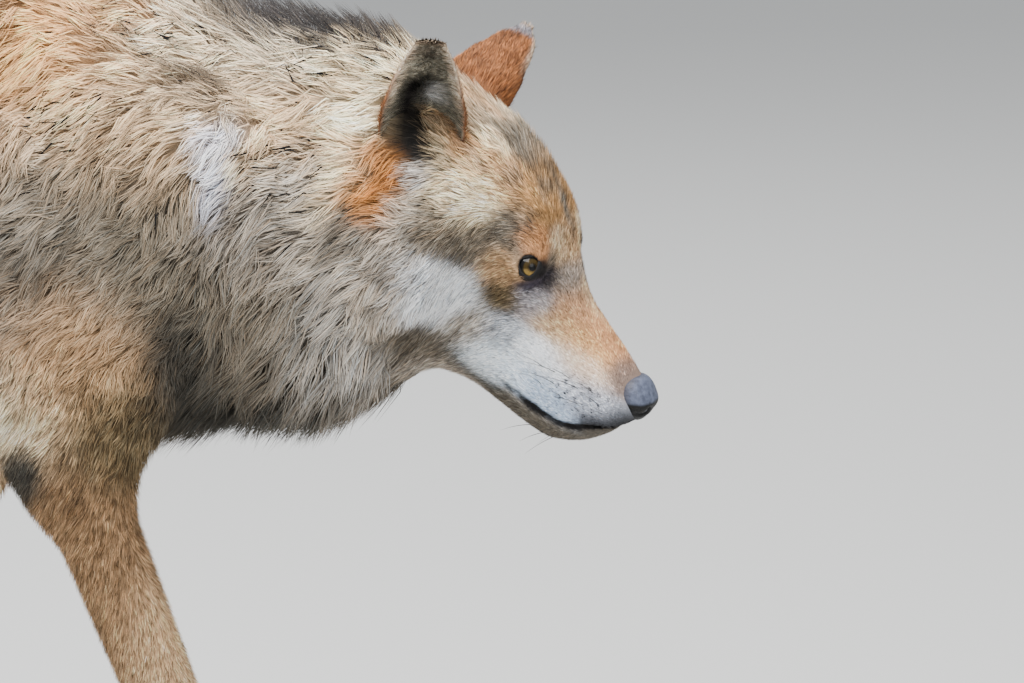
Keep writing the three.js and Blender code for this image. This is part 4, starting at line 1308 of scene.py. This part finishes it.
def dark_kinds(root, crest):
    """Which tufts are dark-tipped guard hairs and which are black strands."""
    p, n, depth = root["p"], root["n"], root["depth"]
    count = len(p)
    off_ear = root["ear"] < ANY_EAR
    lie = np.stack([p @ (0.86, 0, 0.5) / 15, p @ (0.5, 0, -0.86) / 3.2, p[:, 1] / 8], 1)
    stroke = ramp(noise(lie, 1, 22), 0.65, 0.73) * ramp(noise(p, 40, 24), 0.35, 0.6) * ramp(p[:, 2], 480, 580)
    top = ramp(n[:, 2], 0.45, 0.95)
    guard = RNG.random(count) < (0.03 + 0.35 * top + 0.6 * stroke) * ramp(depth, 7, 12)
    guard = (guard | (RNG.random(count) < 0.9 * crest)) & off_ear
    above = ramp(p[:, 2], 520, 600) * ramp(noise(p, 34, 27), 0.3, 0.6) * ramp(depth, 12, 16)
    strand = (RNG.random(count) < 0.055 * above) & off_ear
    return guard, strand


def bent(root, d, length, rise, crest):
    """Middle and end of each tuft, leaving the skin by its rise, then bowing over, drooping and curling."""
    p, n, depth = root["p"], root["n"], root["depth"]
    steepest = 0.8 + 0.16 * crest
    low = np.arcsin(np.clip(rise * 1.25, 0, steepest))[:, None]
    high = np.arcsin(np.clip(rise * 0.7, 0, steepest))[:, None]
    mid = p + (d * np.cos(low) + n * np.sin(low)) * length[:, None] * 0.45
    end = mid + (d * np.cos(high) + n * np.sin(high)) * length[:, None] * 0.55
    end[:, 2] -= 0.12 * length * ramp(depth, 10, 20) * (1 - crest)
    curl = ((noise(p, 9, 41) - 0.5) * 0.5 + RNG.normal(0, 0.07, len(p))) * length * ramp(depth, 4, 12)
    across = np.cross(n, d)
    return mid + across * curl[:, None], end - across * (0.5 * curl)[:, None]


def tufts(root, long):
    """Closed spikes: points, triangles, colours, the place of each point in its patch, and normals."""
    p, n, depth = root["p"], root["n"], root["depth"]
    count = len(p)
    d = flow_of(root)
    crest = crest_of(p, n)
    length = (LENGTH_PER_DEPTH * depth + SHORTEST) * RNG.uniform(0.72, 1.25, count)
    rise = np.clip(0.86 * depth / (LENGTH_PER_DEPTH * depth + SHORTEST), 0.1, 0.65)
    rise = rise * RNG.uniform(0.45, 1.2, count)
    rise = np.where(root["ear"] > INNER_EAR, RNG.uniform(0.3, 0.75, count), rise)
    guard, strand = dark_kinds(root, crest)
    shag = 0.2 * (noise(p, 26, 21) - 0.5) * ramp(depth, 8, 14)
    hang = ramp(-n[:, 2], 0.1, 0.8) * ramp(depth, 12, 20)
    length = length * (1 + 0.22 * guard + 0.1 * strand + shag) * (1 + 0.25 * hang)
    rise = rise + crest * (0.9 - rise) + 0.1 * strand
    mid, end = bent(root, d, length, rise, crest)
    end, mid, tone = clumped(p, end, mid, depth)
    fine = np.where((p[:, 0] > FINE_REAR) & (p[:, 1] < FINE_LEFT), 0.8, 1.15)
    width = fine * np.clip(0.62 + 0.018 * length, 0.68, 1.15) * RNG.uniform(0.7, 1.3, count)
    width = width * np.where(guard, 0.7, 1) * np.where(strand, 1.7, 1)
    across = unit(np.cross(n, d))
    side = across * (width / 2)[:, None]
    ridge = n * (width * 0.42)[:, None]
    leaf = across * 0.55
    bottom, middle, tip = coat_colours(root, guard, strand, tone)
    root_at = p - n * 0.7 - d * 0.4
    if long:
        rows = [root_at, mid + side, mid + ridge, mid - side, end]
        faces = [(1, 2, 4), (2, 3, 4), (3, 1, 4), (0, 2, 1), (0, 3, 2), (0, 1, 3)]
        shades = [bottom] + [middle] * 3 + [tip]
        patch = [(0.5, 0), (0, 0.5), (0.5, 0.5), (1, 0.5), (0.5, 1)]
        tilt = [n, n + leaf, n, n - leaf, n + d * 0.3]
    else:
        rows = [root_at + side, root_at + ridge, root_at - side, end]
        faces = [(0, 1, 3), (1, 2, 3), (2, 0, 3), (0, 2, 1)]
        shades = [(bottom + middle) / 2] * 3 + [tip]
        patch = [(0, 0), (0.5, 0), (1, 0), (0.5, 1)]
        tilt = [n + leaf, n, n - leaf, n + d * 0.3]
    points = np.stack(rows, 1)
    points[:, :, 2] = np.maximum(points[:, :, 2], LOWEST)
    patch = (np.array(patch) - 0.5) * PATCH_SIZE
    return points, np.array(faces), np.stack(shades, 1), patch, unit(np.stack(tilt, 1))


# coat deeper than this has tufts with a bend, of more triangles than the short ones
LONG_COAT = 8
LONG_FACES, SHORT_FACES = 6, 4
COAT_TRIANGLES, QUICK_TRIANGLES, PIECE_TRIANGLES = 1480000, 200000, 190000
TRIAL_ROOTS = 20000
# name and the axis that each part of the coat runs along
REGIONS = [
    ("face", 0), ("crown", 0), ("ears", 2), ("neck_right", 0), ("neck_left", 0),
    ("flank_right", 0), ("flank_left", 0), ("foreleg_right", 2), ("foreleg_left", 2),
    ("hind_right", 2), ("hind_left", 2), ("tail", 2),
]
REGION = {name: number for number, (name, axis) in enumerate(REGIONS)}


# where the coat's regions part: forward on the body, and forward on the head
NECK_REAR, HAUNCH_FRONT, HEAD_REAR, FACE_REAR = -30, -400, 205, 125


def region_of(root):
    """The number of the region that each root stands in."""
    p = root["p"]
    q = in_head(p)
    x, y, z = p.T
    left = y >= 0
    region = np.where(x > NECK_REAR, REGION["neck_right"], REGION["flank_right"]) + left
    region = np.where(x < HAUNCH_FRONT, REGION["hind_right"] + left, region)
    foreleg = (z < 400) & (x > -300) & (root["depth"] < 14)
    region = np.where(foreleg, REGION["foreleg_right"] + left, region)
    region = np.where((x < -700) & (np.abs(y) < 48) & (z > 240), REGION["tail"], region)
    on_head = (q[:, 0] > 20) & (np.abs(q[:, 1]) < 100) & (q[:, 2] > -95) & (x > HEAD_REAR)
    region = np.where(on_head, np.where(q[:, 0] > FACE_REAR, REGION["face"], REGION["crown"]), region)
    return np.where(root["ear"] > ANY_EAR, REGION["ears"], region)


def grow_coat(skin, material):
    """The coat's pieces: as many tufts as the budget allows, by region, in slices under the limit."""
    trial = roots_on(skin, TRIAL_ROOTS)
    share_long = (trial["depth"] > LONG_COAT).mean()
    budget = COAT_TRIANGLES
    root = roots_on(skin, int(budget / (LONG_FACES * share_long + SHORT_FACES * (1 - share_long))))
    region = region_of(root)
    long_here = root["depth"] > LONG_COAT
    for number, (name, axis) in enumerate(REGIONS):
        batches = []
        for long in (True, False):
            pick = np.flatnonzero((region == number) & (long_here == long))
            batches.append((long, pick[np.argsort(root["p"][pick, axis])]))
        heavy = sum(len(pick) * (LONG_FACES if long else SHORT_FACES) for long, pick in batches)
        slices = 1 + heavy // PIECE_TRIANGLES
        for part in range(slices):
            blocks = []
            for long, pick in batches:
                chosen = pick[len(pick) * part // slices: len(pick) * (part + 1) // slices]
                if len(chosen):
                    blocks.append(grown({key: value[chosen] for key, value in root.items()}, long, axis))
            if not blocks:
                continue
            label = f"coat_{name}" + (f"_{part + 1}" if slices > 1 else "")
            starts = np.cumsum([0] + [len(block[0]) for block in blocks])
            tris = np.concatenate([block[1] + start for block, start in zip(blocks, starts)])
            joined = [np.concatenate([block[i] for block in blocks]) for i in (0, 2, 3, 4)]
            points, shades, patches, normals = joined
            mesh_piece(label, points, tris, material, shades, (), patches, normals)


def grown(root, long, axis):
    """Tufts as flat lists: points, triangles, colours, places on the OFBake map, and normals."""
    points, faces, shades, patch, tilt = tufts(root, long)
    count, each = points.shape[:2]
    patches = unwrapped(root["p"], axis)[:, None, :] + patch[None]
    tris = (faces[None] + (np.arange(count) * each)[:, None, None]).reshape(-1, 3)
    return points.reshape(-1, 3), tris, shades.reshape(-1, 3), patches.reshape(-1, 2), tilt.reshape(-1, 3)


# ---------------------------------------------------------------- eyes, nose, whiskers, claws
PUPIL, IRIS_INNER, IRIS = (0.002, 0.002, 0.002), (0.1, 0.062, 0.016), (0.21, 0.13, 0.03)
IRIS_EDGE, IRIS_RIM, EYE_WHITE = (0.07, 0.05, 0.012), (0.02, 0.015, 0.006), (0.006, 0.005, 0.004)
# angle from the eye's axis, and colour
EYE_RINGS = [
    (0.0001, PUPIL), (0.08, PUPIL), (0.15, PUPIL), (0.19, PUPIL), (0.21, IRIS_INNER), (0.26, IRIS_INNER),
    (0.32, IRIS), (0.38, IRIS), (0.44, IRIS), (0.5, IRIS), (0.55, IRIS_EDGE), (0.59, IRIS_RIM),
    (0.7, EYE_WHITE), (0.9, EYE_WHITE), (1.3, EYE_WHITE), (1.7, EYE_WHITE), (2.2, EYE_WHITE),
    (3.1415, EYE_WHITE),
]
GAZE = (0.345, 0.796, 0.467)
CORNEA_BULGE = 0.7
EYE_COLUMNS = 64


def eyeball(side, material):
    """A ball that bulges at the cornea, its iris rayed and darkened at the top by a painted shadow of the
    upper lid.
    """
    centre = in_head(eye_centre(side))
    gaze = unit(np.array(GAZE) * (1, side, 1))
    across = unit(np.cross(gaze, (0, 0, 1)))
    up = np.cross(across, gaze)
    turn = np.linspace(0, 2 * np.pi, EYE_COLUMNS, endpoint=False)
    ring = np.cos(turn)[:, None] * across + np.sin(turn)[:, None] * up
    height = ring @ (HEAD.T @ (0, 0, 1))
    points, colours = [], []
    for angle, tint in EYE_RINGS:
        radius = EYEBALL_RADIUS + CORNEA_BULGE * (1 - ramp(angle, 0, 0.75))
        points.append(centre + radius * (np.cos(angle) * gaze + np.sin(angle) * ring))
        ray = 1 + 0.28 * np.sin(turn * 23 + 3 * np.sin(turn * 5)) * (0.2 < angle < 0.52)
        # painted shadow of the upper lid, darkening the top of the iris
        lit = 1 - 0.86 * ramp(np.sin(angle) * height, -0.34, 0.08)
        colours.append(np.array(tint) * (ray * lit)[:, None])
    points = head(np.concatenate(points))
    tris = outward(points - head(centre), split(points, grid_faces(len(EYE_RINGS), EYE_COLUMNS)))
    tag = "right" if side < 0 else "left"
    mesh_piece(f"eyeball_{tag}", points, tris, material, np.concatenate(colours), [f"eye_{tag}"])


# the pad is black: the bluish grey of its top is a painted reflection of the sky
NOSE_TOP_SKY_REFLECTION, NOSE_UNDER, NOSE_BACK = (0.08, 0.092, 0.135), (0.002, 0.002, 0.002), (0.04, 0.035, 0.038)
NOSE_HALF = (13.6, 17, 14.6)
NOSE_SQUARENESS = 2.9


def from_bar(q, a, b, ra, rb):
    """Distance from a tapering round bar between a and b."""
    a, b = np.array(a, float), np.array(b, float)
    t = np.clip((q - a) @ (b - a) / ((b - a) @ (b - a)), 0, 1)
    return np.linalg.norm(q - a - t[:, None] * (b - a), axis=1) - (ra + t * (rb - ra))


def nose_shape(q):
    """A rounded block with nostrils, their side slits, a sloping top and a groove down the front."""
    length, half, height = NOSE_HALF
    narrow = 1 - 0.4 * ramp(-q[:, 2], -2, 16) - 0.15 * ramp(q[:, 2], 6, 16)
    size = np.stack([np.full(len(q), length), half * narrow, np.full(len(q), height)], 1)
    flat = np.abs((q - (0.5, 0, 0)) / size)
    d = ((flat**NOSE_SQUARENESS).sum(1) ** (1 / NOSE_SQUARENESS) - 1) * 14
    for side in (-1, 1):
        d = carve(d, from_bar(q, (12.5, side * 7.2, 0), (19, side * 7.4, -1), 3.1, 2.9), 2.5)
        d = carve(d, from_bar(q, (11.5, side * 10.5, -3), (6, side * 17, -6), 1.1, 1.0), 2)
    d = carve(d, (8.3 - q[:, 0]) * 0.55 + (10.2 - 0.02 * q[:, 1] ** 2 - q[:, 2]) * 0.83, 3)
    return carve(d, from_bar(q, (16, 0, 6), (13, 0, -18), 0.9, 1.1), 2)


def nose_pad(material):
    """The pad, black in front and below, with a painted bluish-grey reflection of the sky on its top, and
    black nostrils.
    """
    steps = np.arange(-19, 19.1, 0.8)
    local, quads = net(nose_shape, [steps, steps, steps])
    points = head(local + NOSE)
    # painted sky reflection on the top, fading into the pad's own black in front and below
    front = 1 - ramp(local[:, 2] - 0.7 * local[:, 0], -3.2, 0.2)
    colours = mixed(np.broadcast_to(NOSE_TOP_SKY_REFLECTION, points.shape), NOSE_UNDER, front)
    colours = colours * (0.55 + 0.9 * noise(local, 2.2, 7))[:, None]
    colours = mixed(colours, NOSE_BACK, 0.7 * (1 - ramp(local[:, 0] + 0.3 * local[:, 2], -6, 3)))
    pits = np.min([np.linalg.norm(local - (12, side * 8, -1), axis=1) for side in (-1, 1)], axis=0)
    colours = mixed(colours, NOSE_UNDER, (1 - ramp(pits, 4, 6.5)) * ramp(local[:, 0], 4, 10))
    mesh_piece("nose_pad", points, split(points, quads), material, colours, ["nose"])


LIP_WHISKERS = [
    (250, 24, 0), (243, 28, 6), (240, 31, -6), (234, 31, 3), (230, 34, -9), (225, 33, 5), (219, 36, -4),
    (215, 35, 3), (211, 37, -10), (206, 36, 0),
]
BROW_WHISKERS = [(148, 44, 78), (144, 47, 74), (142, 42, 80)]
CHEEK_WHISKERS = [(120, 72, 8), (112, 80, 2)]
CHIN_WHISKERS = [(232, 14, -46), (222, 20, -46), (240, 9, -44)]
WHISKER_STEPS = 6
WHISKER_SAG = np.array([0, 0, -0.22])
# in metres, as the geometry nodes take them
WHISKER_ROOT_RADIUS, WHISKER_TIP_RADIUS = 0.0003, 0.00003
WHISKER_DARK = 0.012


def bristle_tree():
    """Geometry nodes that turn lines into round bristles tapering to a point."""
    tree = bpy.data.node_groups.new("bristles", "GeometryNodeTree")
    face = tree.interface
    face.new_socket("Lines", in_out="INPUT", socket_type="NodeSocketGeometry")
    face.new_socket("Root Radius", in_out="INPUT", socket_type="NodeSocketFloat")
    face.new_socket("Tip Radius", in_out="INPUT", socket_type="NodeSocketFloat")
    face.new_socket("Horn", in_out="INPUT", socket_type="NodeSocketMaterial")
    face.new_socket("Bristles", in_out="OUTPUT", socket_type="NodeSocketGeometry")
    nodes, link = tree.nodes, tree.links.new
    given = nodes.new("NodeGroupInput")
    result = nodes.new("NodeGroupOutput")
    curve = nodes.new("GeometryNodeMeshToCurve")
    along = nodes.new("GeometryNodeSplineParameter")
    taper = nodes.new("ShaderNodeMapRange")
    ring = nodes.new("GeometryNodeCurvePrimitiveCircle")
    ring.inputs["Resolution"].default_value = 5
    ring.inputs["Radius"].default_value = 1
    sweep = nodes.new("GeometryNodeCurveToMesh")
    sweep.inputs["Fill Caps"].default_value = True
    real = nodes.new("GeometryNodeRealizeInstances")
    finish = nodes.new("GeometryNodeSetMaterial")
    link(given.outputs["Lines"], curve.inputs["Mesh"])
    link(along.outputs["Factor"], taper.inputs["Value"])
    link(given.outputs["Root Radius"], taper.inputs["To Min"])
    link(given.outputs["Tip Radius"], taper.inputs["To Max"])
    link(curve.outputs["Curve"], sweep.inputs["Curve"])
    link(ring.outputs["Curve"], sweep.inputs["Profile Curve"])
    link(taper.outputs["Result"], sweep.inputs["Scale"])
    link(sweep.outputs["Mesh"], real.inputs["Geometry"])
    link(real.outputs["Geometry"], finish.inputs["Geometry"])
    link(given.outputs["Horn"], finish.inputs["Material"])
    link(finish.outputs["Geometry"], result.inputs["Bristles"])
    return tree


def whisker_lines():
    """Points and edges of lines that leave the skin backward and outward, and sag."""
    points, edges = [], []
    share = np.linspace(0, 1, WHISKER_STEPS + 1)[:, None]
    for side in (-1, 1):
        for i, root in enumerate(LIP_WHISKERS + BROW_WHISKERS + CHEEK_WHISKERS + CHIN_WHISKERS):
            place = head(np.array(root) * (1, side, 1))
            out = slope(place[None])[0]
            place = place - out * (surface(place[None])[0] + 1)
            spread, lift = 0.55 + 0.1 * (i % 3), 0.12 - 0.08 * (i % 4)
            way = unit(-HEAD[:, 0] * 0.75 + out * spread + HEAD[:, 2] * lift)
            length = 26 + 7 * (i % 4) if i < len(LIP_WHISKERS) else 20 + 3 * (i % 3)
            edges += [(len(points) + k, len(points) + k + 1) for k in range(WHISKER_STEPS)]
            points += list(place + length * (way * share + WHISKER_SAG * share**2))
    return np.array(points), edges


def whiskers(material):
    """All the whiskers, as one piece of thin wires."""
    points, edges = whisker_lines()
    lines_mesh = bpy.data.meshes.new("whisker_lines")
    lines_mesh.from_pydata(((points + SHIFT) / 1000).tolist(), edges, [])
    guide = bpy.data.objects.new("whisker_lines", lines_mesh)
    bpy.context.scene.collection.objects.link(guide)
    grow = guide.modifiers.new("bristles", "NODES")
    grow.node_group = bristle_tree()
    items = grow.node_group.interface.items_tree
    sockets = {item.name: item.identifier for item in items if item.in_out == "INPUT"}
    grow[sockets["Root Radius"]] = WHISKER_ROOT_RADIUS
    grow[sockets["Tip Radius"]] = WHISKER_TIP_RADIUS
    grow[sockets["Horn"]] = material
    made = bpy.data.meshes.new_from_object(guide.evaluated_get(bpy.context.evaluated_depsgraph_get()))
    guide.modifiers.remove(grow)
    bpy.data.objects.remove(guide)
    made.calc_loop_triangles()
    places = np.array([v.co for v in made.vertices]) * 1000 - SHIFT
    tris = outward(places, np.array([t.vertices for t in made.loop_triangles]))
    mesh_piece("whiskers", places, tris, material, np.full(places.shape, WHISKER_DARK))


CLAW_ROWS, CLAW_COLUMNS = 9, 10
CLAW_BASE, CLAW_TIP = (0.05, 0.04, 0.033), (0.16, 0.13, 0.1)


def claws(frame, material):
    """Curved claws in the places of the plain ones."""
    names = sorted(name for name in frame["nodes"] if "claw" in name)
    points, tris, colours, start = [], [], [], 0
    for name in names:
        mesh = frame["nodes"][name].data
        co = np.array([v.co for v in mesh.vertices]) * 1000 - SHIFT
        middle = co.mean(0)
        axis = np.linalg.svd(co - middle)[2][0]
        share = (co - middle) @ axis
        ends = [co[share < -2], co[share > 2]]
        spread = [np.linalg.norm(end - end.mean(0), axis=1).mean() for end in ends]
        axis = axis if spread[1] < spread[0] else -axis
        share = (co - middle) @ axis
        base, tip = middle + axis * share.min(), middle + axis * share.max()
        radius = max(spread) * 1.05
        side = unit(np.cross(axis, (0, 0, 1)))
        up = np.cross(side, axis)
        rows = []
        for t in np.linspace(0, 1, CLAW_ROWS):
            centre = base + (tip - base) * t + up * radius * (0.9 * t * (1 - t) * 2)
            r = radius * (1 - t) ** 0.6 + 0.25
            for a in np.linspace(0, 2 * np.pi, CLAW_COLUMNS, endpoint=False):
                rows.append(centre + (side * np.cos(a) * 0.75 + up * np.sin(a)) * r)
        rows = np.array(rows)
        faces = outward(rows - middle, split(rows, grid_faces(CLAW_ROWS, CLAW_COLUMNS)))
        rows[:, 2] = np.maximum(rows[:, 2], LOWEST)
        points.append(rows)
        tris.append(faces + start)
        fade = np.repeat(np.linspace(0, 1, CLAW_ROWS), CLAW_COLUMNS)
        colours.append(mixed(np.broadcast_to(CLAW_BASE, rows.shape), CLAW_TIP, fade))
        start += len(rows)
    points, tris, colours = np.concatenate(points), np.concatenate(tris), np.concatenate(colours)
    mesh_piece("claws", points, tris, material, colours, names)


# ---------------------------------------------------------------- camera, floor and light
def look_at(place, target):
    """The matrix of something at a place that looks at the target."""
    back = unit(np.array(place, float) - np.array(target, float))
    right = unit(np.cross((0, 0, 1), back))
    turn = np.eye(4)
    turn[:3, :3] = np.stack([right, np.cross(back, right), back], 1)
    turn[:3, 3] = place
    return Matrix(turn.tolist())


# the camera's numbers are millimetres, the floor's and lamps' metres
CAMERA_TARGET, CAMERA_PLACE = (288.19, -22.22, 450.06), (1488.77, -6831.0, 1545.1)
SENSOR, LENS = 36, 36 * 10290 / 1024
FLOOR_HALF = 40
FLOOR_PALE = (0.5, 0.5, 0.49, 1)
SKY = (0.93, 0.96, 1, 1)
LAMP_TARGET = (0.2, 0, 0.45)
# name, place, width, watts
LAMPS = [
    ("overhead", (-0.2, -1.2, 3.6), 2.6, 410),
    ("front", (2.6, -3.2, 2.0), 2.2, 80),
    ("behind", (-1.0, 2.8, 2.6), 2.4, 80),
]


def set_camera():
    """The camera that shows the head, the neck and the foreleg."""
    camera = bpy.data.objects.new("camera", bpy.data.cameras.new("camera"))
    bpy.context.scene.collection.objects.link(camera)
    place, target = [(np.array(spot) + SHIFT) / 1000 for spot in (CAMERA_PLACE, CAMERA_TARGET)]
    camera.matrix_world = look_at(place, target)
    camera.data.sensor_width = SENSOR
    camera.data.lens = LENS
    camera.data.clip_end = 200
    bpy.context.scene.camera = camera


def set_floor():
    """Plain ground under the paws."""
    mesh = bpy.data.meshes.new("floor")
    corners = [(-1, -1, 0), (1, -1, 0), (1, 1, 0), (-1, 1, 0)]
    mesh.from_pydata([(FLOOR_HALF * x, FLOOR_HALF * y, z) for x, y, z in corners], [], [(0, 1, 2, 3)])
    floor = bpy.data.objects.new("floor", mesh)
    bpy.context.scene.collection.objects.link(floor)
    plain = bpy.data.materials.new("floor_pale")
    plain.use_nodes = True
    shader = plain.node_tree.nodes["Principled BSDF"]
    shader.inputs["Base Color"].default_value = FLOOR_PALE
    shader.inputs["Roughness"].default_value = 0.9
    mesh.materials.append(plain)


def set_light():
    """The lamps and the sky."""
    for name, spot, size, power in LAMPS:
        light = bpy.data.lights.new(name, "AREA")
        light.size, light.energy = size, power
        lamp = bpy.data.objects.new(name, light)
        bpy.context.scene.collection.objects.link(lamp)
        lamp.matrix_world = look_at(spot, LAMP_TARGET)
    world = bpy.data.worlds.new("studio")
    world.use_nodes = True
    sky = world.node_tree.nodes["Background"]
    sky.inputs["Color"].default_value = SKY
    sky.inputs["Strength"].default_value = 0.7
    bpy.context.scene.world = world


FLESH = ["trunk", "neck", "tail", "head", "lower_jaw", "ear_right", "ear_left"] + [
    f"{part}_{side}"
    for part in ("upper_arm", "forearm", "paw_fore", "thigh", "shank", "paw_hind")
    for side in ("right", "left")
]

for spare in list(bpy.data.objects):
    bpy.data.objects.remove(spare)
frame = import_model()
eye_low, eye_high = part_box("eye_right")
SHIFT = np.array(eye_low + eye_high) * 500 - head(np.array(EYE_SOLID) * (1, -1, 1))

GRAIN = grain_group()
fur = painted("fur", roughness=0.85, fineness=900, bump=0, specular=0.12)
hide = painted("hide", roughness=0.8, fineness=500, bump=0.6, specular=0.25)
skin = build_skin()
# the skin is darker where the coat over it is deep: partly the darker underfur, partly painted shade of the
# coat over it
under = skin["c"] * np.where(skin["depth"] > 6, 0.45, 0.7)[:, None]
mesh_piece("skin", skin["p"], skin["t"], hide, under, FLESH)
grow_coat(skin, fur)
wet = painted("wet_eye", roughness=0.5, fineness=60, bump=0, coat=0.26, specular=0.05)
for sign in (-1, 1):
    eyeball(sign, wet)
nose_pad(painted("nose_leather", roughness=0.55, fineness=900, bump=1.0, coat=0.05, specular=0.2))
whiskers(painted("whisker", roughness=0.5, fineness=60, bump=0))
claws(frame, painted("horn", roughness=0.42, fineness=260, bump=0.3))
set_camera()
set_floor()
set_light()
